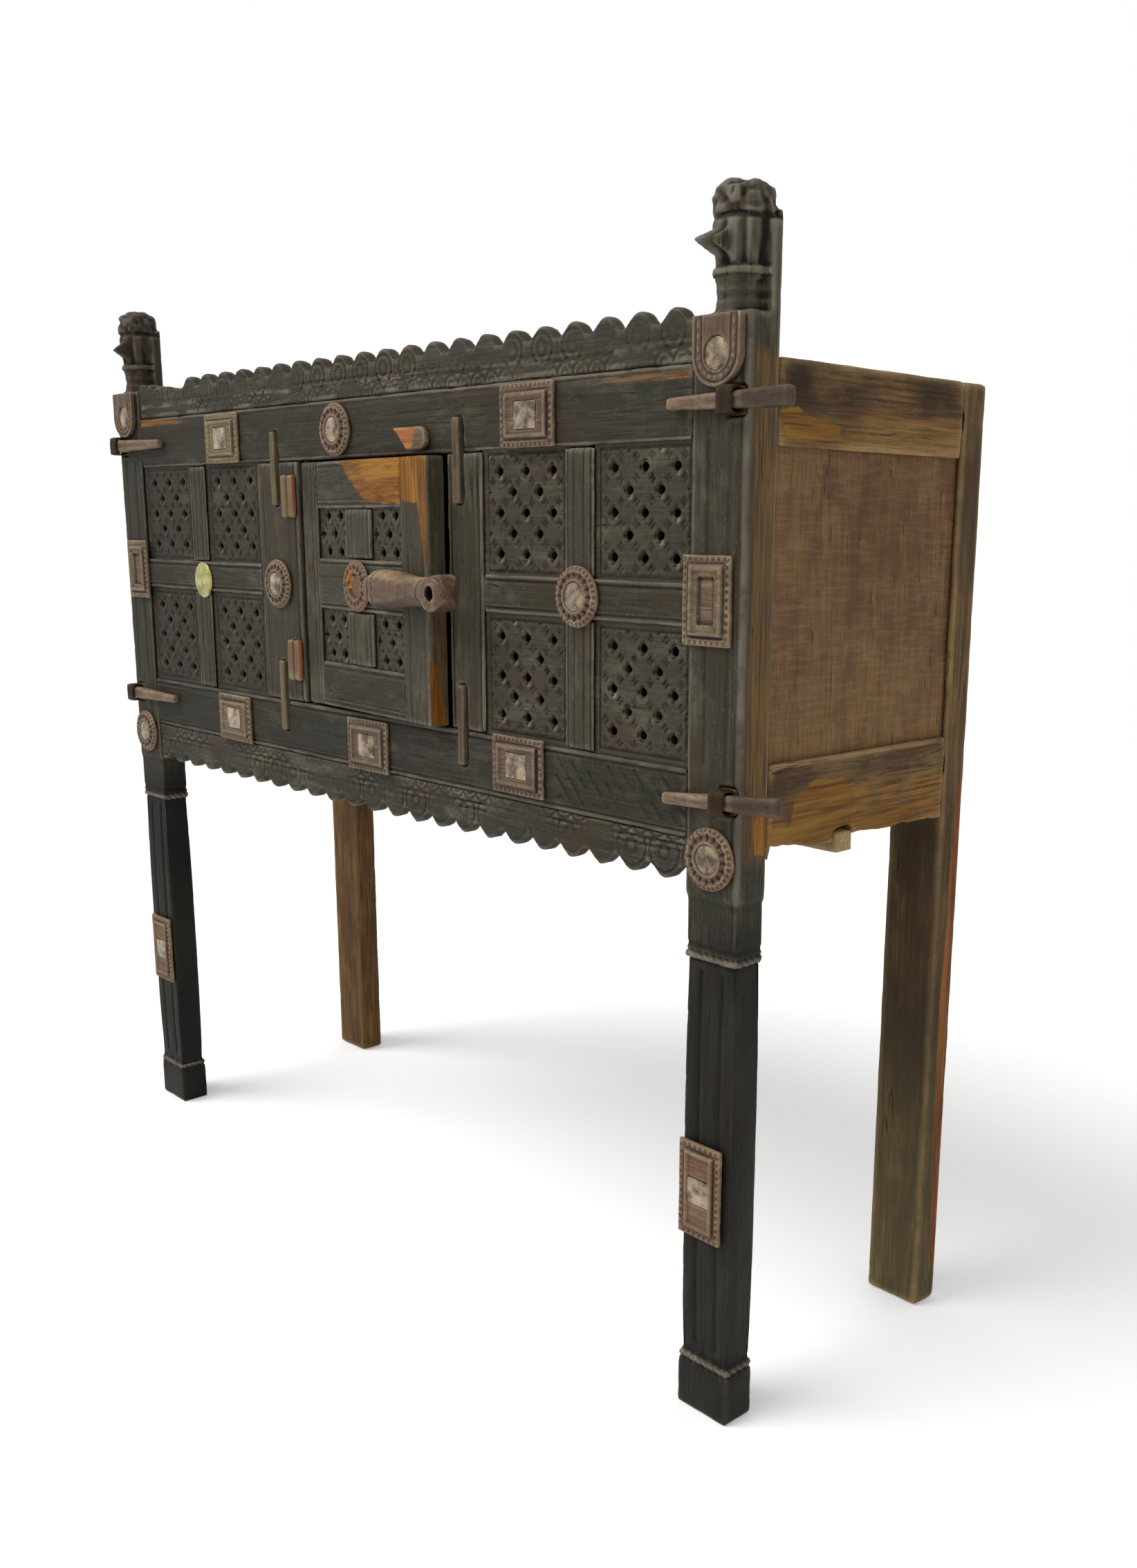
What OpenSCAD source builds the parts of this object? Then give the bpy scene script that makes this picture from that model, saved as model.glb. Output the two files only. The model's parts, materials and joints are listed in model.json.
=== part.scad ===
// Dowry chest on four tall legs, with a carved front, a pivot-hung door and a sliding door bolt.
// Millimetres, +Z up, front towards -Y. The origin is on the floor, under the middle of the
// bounding box of the chest as it stands, with its door ajar and its bolt shot.
// Inside the modules X is 0 at the carcass centre and Y is 0 at the front face of the posts.

/* [Carcass] */
// Width over the front posts
carcass_w = 1220; // [1100:1:1400]
// Depth from the front of the posts to the back of the back legs
carcass_d = 371; // [330:1:450]
// Height of the underside of the front bottom rail
base_z = 602; // [540:1:650]
// Clear height between the front rails
bay_h = 298; // [280:1:330]

/* [Posts and legs] */
// Front width of a front post
post_w = 68; // [62:1:80]
// Depth of a front post
post_d = 42; // [36:1:50]
// Width of a back leg
back_leg_w = 70; // [60:1:80]
// Depth of a back leg
back_leg_d = 39; // [34:1:50]
// How far the leg stands back from its foot block and rings
leg_relief = 2; // [1:0.5:4]
// Height of the foot block
foot_h = 62; // [40:1:80]
// Height above the floor of the carved ring on the front legs
ring_z = 484; // [400:1:500]
// Height of the carved ring
ring_h = 10; // [6:1:16]
// Width of a groove down the front of a post
groove_w = 4; // [2:0.5:6]
// Depth of that groove
groove_d = 3; // [1:0.5:5]

/* [Front frame] */
// Height of the front top and bottom rails
rail_h = 68; // [60:1:80]
// Thickness of the front and back rails and the jambs
rail_t = 34; // [30:1:36]
// Height of the mid rails beside the door
mid_rail_h = 41; // [36:1:60]
// Height of the mid rails' centre above the bottom rail's top edge
mid_rail_rise = 152; // [140:1:160]
// Thickness of the mid rails and muntins
inner_t = 28; // [24:1:32]
// Width of a muntin beside the door
muntin_w = 44; // [36:1:60]
// Width of the left jamb
left_jamb_w = 96; // [80:1:110]
// Width of the right jamb
right_jamb_w = 62; // [50:1:80]
// Height of the crest board above the top rail, up to the foot of the scallops
crest_h = 39; // [30:1:50]
// Height of the apron board below the bottom rail, down to the foot of the scallops
apron_h = 42; // [34:1:50]
// How far the apron's scallops are shifted from the middle
apron_shift = -12; // [-14:1:14]
// Thickness of the crest and apron boards
trim_t = 18; // [14:1:22]
// Distance from one scallop to the next
scallop_pitch = 45.5; // [40:0.1:52]
// Radius of a scallop on the apron
scallop_r = 28; // [27:0.5:32]
// Depth of the cuts between the apron's scallops
scallop_rise = 12; // [9:0.5:14]
// How much shallower the apron is at its right end
apron_lift = 8; // [0:0.5:10]
// Radius of a scallop on the crest
crest_r = 19; // [17:0.5:28]
// How far the crest's scallops are shifted from the middle
crest_shift = -8; // [-10:1:10]
// Depth of the cuts between the crest's scallops
crest_cut = 15; // [12:0.5:18]
// How far the crest's scallops rise above the post's shoulder
crest_over = 12; // [8:0.5:14]
// Number of scallops that the left end of the crest lacks
crest_plain = 3; // [0:1:5]

/* [Pierced panels] */
// Thickness of the pierced panels
grille_t = 12; // [9:1:14]
// How far the panels lie behind the front face
grille_set = 4; // [3:0.5:8]
// Depth of the grooves that hold the panels
groove_in = 6; // [4:1:8]
// Radius of a pierced hole
hole_r = 4.5; // [3:0.5:6]
// Spacing of the holes in the panels beside the door
hole_pitch = 42; // [32:1:44]

/* [Door] */
// Centre of the door opening, right of the carcass centre
door_x = 25; // [0:1:40]
// Width of the door opening
opening_w = 304; // [280:1:330]
// Gap round the closed door
door_gap = 2; // [1:0.5:3]
// Thickness of the door
door_t = 25; // [22:1:27]
// Width of the door's hinge stile
hinge_stile_w = 46; // [40:1:60]
// Width of the door's lock stile
lock_stile_w = 56; // [44:1:60]
// Width of the door's muntins
door_muntin_w = 62; // [50:1:70]
// Height of the door's top and bottom rails
door_rail_h = 56; // [45:1:65]
// Height of the door's mid rail
door_mid_h = 62; // [56:1:70]
// Radius of the door's wooden pivots
pivot_r = 8; // [6:0.5:10]
// Length of a pivot inside its socket
pivot_l = 20; // [14:1:26]
// Running clearance round a pivot
pivot_fit = 0.05; // [0.02:0.01:0.1]
// Spacing across of the corner holes in the door's panels
door_hole_dx = 30; // [24:1:36]
// Spacing up of the corner holes in the door's panels
door_hole_dz = 42; // [28:1:43]
// Angle that the door stands ajar
ajar = 5; // [0:0.5:8]

/* [Bolt] */
// Length of the bolt
bolt_l = 174; // [150:1:180]
// Height of the bolt at its barrel
bolt_h = 44; // [36:1:46]
// How far the bolt stands out from its back
bolt_t = 30; // [26:1:36]
// Distance of the bolt's right end from the door's lock edge
bolt_reach = 72; // [60:1:76]
// Radius of the hole in the bolt's eye
eye_r = 7; // [5:0.5:9]
// Distance of the eye's centre from the bolt's right end
eye_in = 20; // [17:1:26]
// Height of the neck of the bolt's tongue
tongue_neck_h = 12; // [8:1:16]
// Height of the head of the bolt's tongue
tongue_head_h = 22; // [20:1:26]
// Length of the tongue
tongue_l = 38; // [30:1:40]
// Travel of the bolt, up to the door's boss
bolt_travel = 18; // [10:1:19]

/* [Ends and back] */
// Thickness of the end rails
end_t = 34; // [30:1:36]
// Height of the end rails' top edge above the front top rail
end_rise = 4; // [0:1:10]
// Height of the end top rail
end_top_h = 77; // [70:1:85]
// How far the end bottom rail hangs below the front bottom rail
end_drop = 18; // [10:1:24]
// Height of the end bottom rail
end_low_h = 93; // [88:1:104]
// Thickness of the end and back panels
panel_t = 12; // [9:1:14]
// How far the end panels lie inside the end rails' outer face
panel_set = 8; // [6:1:10]
// Number of planks in the back
back_planks = 3; // [2:1:5]

/* [Boards and bearers] */
// Thickness of the top boards
top_t = 18; // [14:1:20]
// Thickness of the floor boards
floor_t = 18; // [14:1:20]
// Number of boards in the top and in the floor
board_count = 3; // [2:1:5]
// Width of a bearer
bearer_w = 40; // [30:1:50]
// Height of a bearer
bearer_h = 54; // [30:1:56]
// Width of the batten under the lower bearers
batten_w = 28; // [20:1:40]
// Height of the batten
batten_h = 22; // [16:1:24]

/* [Keys and fittings] */
// Length of a corner key
key_l = 145; // [130:1:160]
// Height of a corner key at its thick end
key_h = 19; // [14:1:20]
// Height of a corner key at its point
key_tip = 12; // [5:0.5:13]
// Thickness of a corner key
key_t = 14; // [9:1:16]
// How far the right corner keys stand out past the post
key_out = 54; // [20:1:60]
// How far the left ones do
key_out_left = 2; // [1:1:20]
// Tilt of the lower right corner key
key_tilt = 4; // [0:0.5:5]
// Length of a joint key let in beside the door
joint_key_l = 90; // [80:1:100]
// Width of a joint key
joint_key_w = 12; // [9:1:16]
// How far a joint key, plaque foot or lug is let in
let_in = 10; // [6:1:12]
// How far a joint key stands out
joint_key_out = 4; // [2:0.5:6]
// Width of a lug beside the door's hinge edge
lug_w = 28; // [20:1:32]
// Height of such a lug
lug_h = 52; // [40:1:60]
// Thickness of the lugs and of the block above the door
lug_t = 8; // [6:0.5:10]
// Length of the block above the door
lintel_w = 62; // [50:1:70]
// Height of that block
lintel_h = 26; // [20:1:30]
// Width of a square plaque
plaque_w = 84; // [70:1:90]
// Height of a square plaque
plaque_h = 64; // [56:1:66]
// Width of a plaque on a post beside the bays
post_plaque_w = 60; // [50:1:64]
// Height of such a plaque
post_plaque_h = 83; // [70:1:90]
// Width of a plaque on a leg
leg_plaque_w = 56; // [48:1:60]
// Height of a plaque on a leg
leg_plaque_h = 102; // [90:1:110]
// Height of its centre above the floor
leg_plaque_z = 248; // [200:1:300]
// Width of a shield on a post's top
shield_w = 58; // [50:1:62]
// Thickness of the plaques
plaque_t = 8; // [6:0.5:10]
// Radius of a round boss
boss_r = 31; // [26:0.5:33]
// Thickness of a round boss
boss_t = 9; // [7:0.5:12]
// Radius of a boss mirror
mirror_r = 14; // [8:0.5:15]
// Radius of the large mirror on the left mid rail
big_mirror_r = 24; // [16:0.5:26]
// Thickness of a mirror in a plaque or boss
mirror_t = 2; // [1:0.5:3]

/* [Finials] */
// Height of a finial above the post's shoulder
finial_h = 111; // [90:1:130]
// Thickness of the slab behind a finial
slab_t = 14; // [10:1:20]
// Radius of a finial's head
head_r = 29; // [22:0.5:30]
// Reach of the pointed lobe in front of the post
lobe_out = 26; // [10:1:28]

/* [Hidden] */
$fn = 48;

// Clearance round tenons, tongues and let-in pieces
fit = 0.2;
// Overshoot of a cut past the face that it opens
cut = 1;

// Heights
base_top = base_z + rail_h;
head_z = base_top + bay_h;
rail_top = head_z + rail_h;
shoulder_z = rail_top + crest_h;
finial_top = shoulder_z + finial_h;
slab_h = finial_h * 0.77;
end_top = rail_top + end_rise;
end_base = base_z - end_drop;
mid_z = base_top + mid_rail_rise;
mid_lo = mid_z - mid_rail_h / 2;
mid_hi = mid_z + mid_rail_h / 2;
top_under = rail_top - top_t;
floor_under = base_top - floor_t;
lower_bearer_z = floor_under - bearer_h;
upper_bearer_z = top_under - bearer_h;
upper_key_z = rail_top - 36;
lower_key_z = base_z + 43;

// Stations across the front
hw = carcass_w / 2;
post_in = hw - post_w;
post_mid = hw - post_w / 2;
door_l = door_x - opening_w / 2;
door_r = door_x + opening_w / 2;
left_bay = [-post_in, door_l - left_jamb_w];
right_bay = [door_r + right_jamb_w, post_in];
left_jamb_mid = door_l - left_jamb_w / 2;
right_jamb_mid = door_r + right_jamb_w / 2;
left_mid = (left_bay[0] + left_bay[1]) / 2;
right_mid = (right_bay[0] + right_bay[1]) / 2;
leaf_l = door_l + door_gap;
leaf_r = door_r - door_gap;

// Stations from front to back
leg_y = carcass_d - back_leg_d;
back_y = carcass_d - rail_t;
back_panel_y = back_y + (rail_t - panel_t) / 2;
batten_y = (carcass_d - batten_w) / 2 - batten_w;
trim_y = 2;

// Joinery
tenon_l = 28;
tenon_t = 12;
jamb_tenon_y = 13;
jamb_tenon_t = 10;
tenon_inset = 9;
end_tenon_w = 22;
end_tenon_h = 26;
end_tenon_x = hw - end_t / 2 + 1;
key_wall = 4;
leg_stub = 20;
rebate = 13;
stub = 10;
bearer_stub = 8;

// Door
pivot_x = leaf_l + door_t / 2;
pivot_y = door_t / 2;
leaf_lo = base_top + door_gap;
leaf_hi = head_z - door_gap;
door_mid_lo = mid_z - door_mid_h / 2;
door_mid_hi = mid_z + door_mid_h / 2;
door_in_l = leaf_l + hinge_stile_w;
door_in_r = leaf_r - lock_stile_w;
door_muntin_x = (door_in_l + door_in_r) / 2;
door_tenon_l = 14;
door_grille_t = 8;
door_grille_y = door_t / 5;
stop_lip = 10;

// Bolt
bolt_gap = 1.5;
bolt_end = leaf_r + bolt_reach;
bolt_start = bolt_end - bolt_l;
bolt_z = mid_z;
tongue_x = door_in_r - tongue_l - 3;
neck_d = 8;
head_d = 7;
slide_fit = 0.3;

// Bounding box, from the bolt's front corner and the right corner keys
bolt_front = [bolt_end - pivot_x, -bolt_gap - bolt_t - pivot_y];
front_reach = pivot_y + bolt_front[1] * cos(ajar) - bolt_front[0] * sin(ajar);
seat_x = -(key_out - key_out_left) / 2;
seat_y = -(carcass_d + front_reach) / 2;

// Plaque and boss centres, as [x, z]
top_row = (head_z + rail_top) / 2 - 1;
low_row = (base_z + base_top) / 2;
plaque_shares = [-0.248, 0.259, -0.25, 0.011, 0.243];
plaque_zs = [top_row, top_row, low_row - 2, low_row - 4, low_row + 6];
square_sites = [for (i = [0:4]) [plaque_shares[i] * carcass_w, plaque_zs[i]]];
boss_sites = [
    [-post_mid, base_z - 14], [post_mid, base_z - 14], [left_jamb_mid - 3, mid_z - 4],
    [right_mid, mid_z + 2], [-0.028 * carcass_w, top_row]
];
post_plaque_z = mid_z + 5;
shield_z = shoulder_z - 35;
mirror_w = 34;
mirror_h = 28;
mirror_floor = 4;

// A box from its lowest corner to its highest, grown by g on every side
module box(lo, hi, g = 0) {
    translate(lo - [g, g, g]) cube(hi - lo + 2 * [g, g, g]);
}

// Puts carcass coordinates into the part's frame
module seat() {
    translate([seat_x, seat_y, 0]) children();
}

// Turns the closed door's coordinates to the angle at which it stands
module hang() {
    seat() translate([pivot_x, pivot_y, 0]) rotate([0, 0, -ajar])
        translate([-pivot_x, -pivot_y, 0]) children();
}

// side is 1 on the right and -1 on the left
module at_side(side) {
    if (side > 0) children();
    else mirror([1, 0, 0]) children();
}

// A plate in the XZ plane, from y forward by t
module plate(y, t) {
    translate([0, y, 0]) rotate([90, 0, 0]) linear_extrude(t) children();
}

// Tenons and tongues, drawn at their own size by the piece and grown by the piece they enter

module front_tenons(z0, z1, g = 0) {
    for (side = [1, -1]) at_side(side)
        box([post_in - cut, (rail_t - tenon_t) / 2, z0 + tenon_inset],
            [post_in + tenon_l, (rail_t + tenon_t) / 2, z1 - tenon_inset], g);
}

module back_tenons(z0, z1, g = 0) {
    for (side = [1, -1]) at_side(side)
        box([hw - back_leg_w - cut, back_y + 4, z0 + tenon_inset],
            [hw - back_leg_w + tenon_l, back_y + 4 + tenon_t, z1 - tenon_inset], g);
}

module end_tenon(zc, g = 0) {
    box([end_tenon_x - end_tenon_w / 2, -key_t - key_wall, zc - end_tenon_h / 2],
        [end_tenon_x + end_tenon_w / 2, leg_y + leg_stub, zc + end_tenon_h / 2], g);
}

module end_panel_solid(g = 0) {
    box([hw - panel_set - panel_t, post_d - groove_in, end_base + end_low_h - groove_in],
        [hw - panel_set, leg_y + groove_in, end_top - end_top_h + groove_in], g);
}

module back_panel_solid(g = 0) {
    box([-(hw - back_leg_w + groove_in), back_panel_y, base_top - groove_in],
        [hw - back_leg_w + groove_in, back_panel_y + panel_t, head_z + groove_in], g);
}

module crest_tongue(g = 0) {
    box([-post_in + cut, trim_y + 5, rail_top - 8],
        [post_in - cut, trim_y + trim_t - 5, rail_top + cut], g);
}

module apron_tongue(g = 0) {
    box([-post_in + cut, trim_y + 5, base_z - cut],
        [post_in - cut, trim_y + trim_t - 5, base_z + 8], g);
}

module bearer_tenon(x, z0, g = 0) {
    box([x - bearer_w / 2 + 8, rail_t - bearer_stub, z0 + 8],
        [x + bearer_w / 2 - 8, back_y + bearer_stub, z0 + bearer_h - 8], g);
}

module bearer_tenons(g = 0) {
    for (x = [left_jamb_mid, right_jamb_mid]) {
        bearer_tenon(x, upper_bearer_z, g);
        bearer_tenon(x, lower_bearer_z, g);
    }
}

module jamb_tenons(g = 0) {
    for (span = [[left_bay[1], door_l], [door_r, right_bay[0]]])
        box([span[0] + 16, jamb_tenon_y, base_top - stub],
            [span[1] - 16, jamb_tenon_y + jamb_tenon_t, head_z + stub], g);
}

module mid_rail_tenons(bay, g = 0) {
    box([bay[0] - stub, (inner_t - tenon_t) / 2, mid_lo + tenon_inset],
        [bay[1] + stub, (inner_t + tenon_t) / 2, mid_hi - tenon_inset], g);
}

module muntin_tenons(bay, g = 0) {
    xc = (bay[0] + bay[1]) / 2;
    for (span = [[base_top - stub, mid_lo + stub / 2], [mid_hi - stub / 2, head_z + stub]])
        box([xc - muntin_w / 2 + 10, inner_t - 8, span[0]],
            [xc + muntin_w / 2 - 10, inner_t - 1, span[1]], g);
}

// The four panel blanks of a bay, with their edges in the grooves round them
module bay_blanks(bay, g = 0) {
    xc = (bay[0] + bay[1]) / 2;
    for (xs = [[bay[0], xc - muntin_w / 2], [xc + muntin_w / 2, bay[1]]])
        for (zs = [[base_top, mid_lo], [mid_hi, head_z]])
            box([xs[0] - groove_in, grille_set, zs[0] - groove_in],
                [xs[1] + groove_in, grille_set + grille_t, zs[1] + groove_in], g);
}

// Thirteen holes in rows of 3, 2, 3, 2 and 3
module bay_holes(bay) {
    xc = (bay[0] + bay[1]) / 2;
    for (xs = [[bay[0], xc - muntin_w / 2], [xc + muntin_w / 2, bay[1]]])
        for (zs = [[base_top, mid_lo], [mid_hi, head_z]])
            for (i = [-2:2], k = [-2:2]) if ((i + k) % 2 == 0)
                translate([(xs[0] + xs[1]) / 2 + i * hole_pitch / 2, 0,
                    (zs[0] + zs[1]) / 2 + k * hole_pitch / 2])
                    rotate([-90, 0, 0]) cylinder(h = rail_t, r = hole_r, $fn = 24);
}

// A corner key lies level on the face of a post, with its point towards the middle
module key_blade(x_out, g = 0) {
    plate(g, key_t + 2 * g) polygon([
        [x_out + g, -key_h / 2 - g], [x_out + g, key_h / 2 + g],
        [x_out - key_l * 0.45, key_h / 2 - 1 + g], [x_out - key_l - g, key_tip / 2 + g],
        [x_out - key_l - g, -key_tip / 2 - g], [x_out - key_l * 0.45, -key_h / 2 - g]
    ]);
}

module corner_key(side, z, g = 0) {
    tilt = side > 0 && z == lower_key_z ? key_tilt : 0;
    at_side(side) translate([end_tenon_x, 0, z]) rotate([0, -tilt, 0]) translate([-end_tenon_x, 0, 0])
        key_blade(hw + (side > 0 ? key_out : key_out_left), g);
}

module joint_key_at(x, z, g = 0) {
    box([x - joint_key_w / 2, -joint_key_out, z - joint_key_l / 2],
        [x + joint_key_w / 2, let_in, z + joint_key_l / 2], g);
}

module joint_key_set(g = 0) {
    for (x = [left_jamb_mid - 3, right_jamb_mid - 10], z = [head_z - 8, base_top + 6])
        joint_key_at(x, z, g);
}

module plaque_foot(x, z, g = 0) {
    rotate([90, 0, 0]) translate([x, z, -let_in - g]) cylinder(h = let_in + g + cut, r = 9 + g, $fn = 32);
}

module fitting_feet(g = 0) {
    for (p = square_sites) plaque_foot(p[0], p[1], g);
    for (p = boss_sites) plaque_foot(p[0], p[1], g);
    for (side = [1, -1]) {
        plaque_foot(side * post_mid, shield_z, g);
        plaque_foot(side * (post_mid - 9), post_plaque_z, g);
        plaque_foot(side * (post_mid - 4), leg_plaque_z, g);
    }
}

module lug_tenons(g = 0) {
    for (z = lug_zs) box([lug_x0 + 8, -cut, z - 15], [lug_x1 - 8, let_in, z + 15], g);
}
lug_x1 = door_l - 0.5;
lug_x0 = lug_x1 - lug_w;
lug_zs = [leaf_hi - 14 - lug_h / 2, leaf_lo + lug_h];

module lintel_tenon(g = 0) {
    box([lintel_x + lintel_h * 0.8, -cut, lintel_z - lintel_h / 4],
        [lintel_x + lintel_h * 1.6, let_in, lintel_z + lintel_h / 4], g);
}
lintel_x = leaf_r - 25 - lintel_w;
lintel_z = head_z + lintel_h / 2 + 4;

// Bare mirror that has lost its boss, on the face of the left mid rail
module mirror_on_mid_rail() {
    translate([left_mid + 6, 0, mid_z - 5]) rotate([90, 0, 0]) cylinder(h = 2 * mirror_t, r = big_mirror_r);
}

module batten_solid(g = 0) {
    box([-hw - 2, batten_y, lower_bearer_z - batten_h], [hw + 2, batten_y + batten_w, lower_bearer_z], g);
}

// Room for boards between the rails and in the rebates of the end rails
module boards_space(z0, h) {
    box([-hw + end_t - rebate, rail_t, z0], [hw - end_t + rebate, back_y, z0 + h]);
}

// Front posts

// The turned profile, as [share of the head's radius, share of the finial's height]
finial_profile = [
    [0, 0], [0.84, 0], [0.8, 0.05], [0.8, 0.24], [0.93, 0.275], [0.96, 0.3], [0.93, 0.325], [0.83, 0.345],
    [0.88, 0.45], [0.96, 0.6], [0.96, 0.67], [0.86, 0.69], [1, 0.71], [1, 0.86], [0.92, 0.93],
    [0.6, 0.985], [0.3, 1], [0, 1]
];

module finial() {
    ay = head_r - 3;
    lobe_w = head_r * 0.6;
    intersection() {
        translate([post_mid, ay, shoulder_z]) rotate_extrude()
            polygon([for (p = finial_profile) [p[0] * head_r, p[1] * finial_h]]);
        box([post_in, -post_d, shoulder_z], [hw, post_d, finial_top + cut]);
    }
    box([post_in, post_d - slab_t, shoulder_z - cut], [hw, post_d, shoulder_z + slab_h]);
    translate([post_mid - lobe_w * 0.65, 0, shoulder_z]) rotate([90, 0, 90]) linear_extrude(lobe_w)
        polygon([[ay / 3, finial_h * 0.65], [-lobe_out, finial_h * 0.52], [-lobe_out, finial_h * 0.485],
            [ay / 3, finial_h * 0.38]]);
}

module front_post(side) {
    difference() {
        at_side(side) difference() {
            union() {
                box([post_in, 0, base_z - apron_h - scallop_rise], [hw, post_d, shoulder_z]);
                box([post_in + leg_relief, leg_relief, 0], [hw - leg_relief, post_d - leg_relief, base_z]);
                box([post_in, 0, 0], [hw, post_d, foot_h]);
                box([post_in, 0, ring_z], [hw, post_d, ring_z + ring_h]);
                finial();
            }
            // Two grooves down the face of the leg, and two beside the end of the rails
            for (x = [post_in + post_w * 0.3, post_in + post_w * 0.7]) {
                box([x - groove_w / 2, -cut, foot_h + 12],
                    [x + groove_w / 2, leg_relief + groove_d, ring_z - 8]);
                box([x - groove_w / 2, -cut, base_top + 4],
                    [x + groove_w / 2, groove_d, upper_key_z - end_tenon_h / 2 - 6]);
            }
            end_tenon(upper_key_z, fit);
            end_tenon(lower_key_z, fit);
            end_panel_solid(fit);
        }
        front_tenons(head_z, rail_top, fit);
        front_tenons(base_z, base_top, fit);
        bay_blanks(left_bay, fit);
        bay_blanks(right_bay, fit);
        mid_rail_tenons(left_bay, fit);
        mid_rail_tenons(right_bay, fit);
        fitting_feet(fit);
    }
}

module front_left_post() {
    color("#3b3a35") seat() front_post(-1);
}

module front_right_post() {
    color("#3b3a35") seat() front_post(1);
}

// Back legs

module back_leg(side) {
    difference() {
        at_side(side) difference() {
            box([hw - back_leg_w, leg_y, 0], [hw, carcass_d, end_top]);
            end_tenon(upper_key_z, fit);
            end_tenon(lower_key_z, fit);
            end_panel_solid(fit);
        }
        back_tenons(head_z, rail_top, fit);
        back_tenons(base_z, base_top, fit);
        back_panel_solid(fit);
    }
}

module back_left_leg() {
    color("#5a4228") seat() back_leg(-1);
}

module back_right_leg() {
    color("#4a4136") seat() back_leg(1);
}

// Front frame

module front_top_rail() {
    color("#3f3d38") seat() difference() {
        union() {
            box([-post_in, 0, head_z], [post_in, rail_t, rail_top]);
            front_tenons(head_z, rail_top);
        }
        crest_tongue(fit);
        jamb_tenons(fit);
        muntin_tenons(left_bay, fit);
        muntin_tenons(right_bay, fit);
        bay_blanks(left_bay, fit);
        bay_blanks(right_bay, fit);
        bearer_tenons(fit);
        joint_key_set(fit);
        fitting_feet(fit);
        lintel_tenon(fit);
        translate([pivot_x, pivot_y, head_z - cut]) cylinder(h = cut + pivot_l + 2, r = pivot_r + pivot_fit);
    }
}

module front_bottom_rail() {
    color("#3a3934") seat() difference() {
        union() {
            box([-post_in, 0, base_z], [post_in, rail_t, base_top]);
            front_tenons(base_z, base_top);
        }
        apron_tongue(fit);
        jamb_tenons(fit);
        muntin_tenons(left_bay, fit);
        muntin_tenons(right_bay, fit);
        bay_blanks(left_bay, fit);
        bay_blanks(right_bay, fit);
        bearer_tenons(fit);
        joint_key_set(fit);
        fitting_feet(fit);
        translate([pivot_x, pivot_y, base_top - pivot_l])
            cylinder(h = pivot_l + cut, r = pivot_r + pivot_fit);
    }
}

module scallop_row(x_first, count, valley, tip, r, lift = 0) {
    intersection() {
        union() {
            for (i = [0:count - 1]) let (x = x_first - i * scallop_pitch)
                translate([x, tip - sign(tip - valley) * r + lift * max(0, x / post_in)])
                    circle(r = r, $fn = 64);
        }
        translate([-post_in + fit, min(valley, tip) - cut])
            square([2 * (post_in - fit), abs(tip - valley) + 2 * cut + lift]);
    }
}

scallop_count = floor((2 * post_in - scallop_pitch / 2) / scallop_pitch) + 1;
scallop_x0 = (scallop_count - 1) * scallop_pitch / 2;

module crest_board() {
    tip = shoulder_z + crest_over;
    valley = tip - crest_cut;
    color("#45423c") seat() {
        plate(trim_y + trim_t, trim_t) {
            translate([-post_in + fit, rail_top]) square([2 * (post_in - fit), valley - rail_top]);
            scallop_row(scallop_x0 + crest_shift, scallop_count - crest_plain, valley - cut, tip, crest_r);
            polygon([[-post_in + fit, valley - cut], [-post_in + fit, tip - 2],
                [-post_in + crest_plain * scallop_pitch, valley - cut]]);
        }
        crest_tongue();
    }
}

module apron_board() {
    foot = base_z - apron_h;
    color("#3b3a35") seat() {
        plate(trim_y + trim_t, trim_t) {
            polygon([[-post_in + fit, base_z], [-post_in + fit, foot], [0, foot],
                [post_in - fit, foot + apron_lift], [post_in - fit, base_z]]);
            scallop_row(scallop_x0 + apron_shift, scallop_count, foot + cut, foot - scallop_rise, scallop_r,
                apron_lift);
        }
        apron_tongue();
    }
}

module jamb(span, lip) {
    difference() {
        union() {
            box([span[0], 0, base_top], [span[1], rail_t, head_z]);
            box([span[0] - lip, door_t + 0.5, base_top], [span[1], rail_t, head_z]);
            intersection() {
                jamb_tenons();
                box([span[0], 0, 0], [span[1], rail_t, finial_top]);
            }
        }
        bay_blanks(left_bay, fit);
        bay_blanks(right_bay, fit);
        mid_rail_tenons(left_bay, fit);
        mid_rail_tenons(right_bay, fit);
        joint_key_set(fit);
        fitting_feet(fit);
        lug_tenons(fit);
    }
}

module left_jamb() {
    color("#3f3c36") seat() jamb([left_bay[1], door_l], 0);
}

module right_jamb() {
    color("#42403a") seat() jamb([door_r, right_bay[0]], stop_lip);
}

module mid_rail(bay) {
    difference() {
        union() {
            box([bay[0], 0, mid_lo], [bay[1], inner_t, mid_hi]);
            mid_rail_tenons(bay);
        }
        bay_blanks(bay, fit);
        muntin_tenons(bay, fit);
        fitting_feet(fit);
    }
}

module left_mid_rail() {
    color("#3d3b36") seat() mid_rail(left_bay);
}

module right_mid_rail() {
    color("#3d3b36") seat() mid_rail(right_bay);
}

module muntins(bay) {
    xc = (bay[0] + bay[1]) / 2;
    difference() {
        union() {
            for (span = [[base_top, mid_lo], [mid_hi, head_z]])
                box([xc - muntin_w / 2, 0, span[0]], [xc + muntin_w / 2, inner_t, span[1]]);
            muntin_tenons(bay);
        }
        bay_blanks(bay, fit);
    }
}

module left_muntins() {
    color("#3d3b36") seat() muntins(left_bay);
}

module right_muntins() {
    color("#3d3b36") seat() muntins(right_bay);
}

module left_grilles() {
    color("#4a4640") seat() difference() {
        bay_blanks(left_bay);
        bay_holes(left_bay);
    }
}

module right_grilles() {
    color("#4a4640") seat() difference() {
        bay_blanks(right_bay);
        bay_holes(right_bay);
    }
}

// Ends

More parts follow.
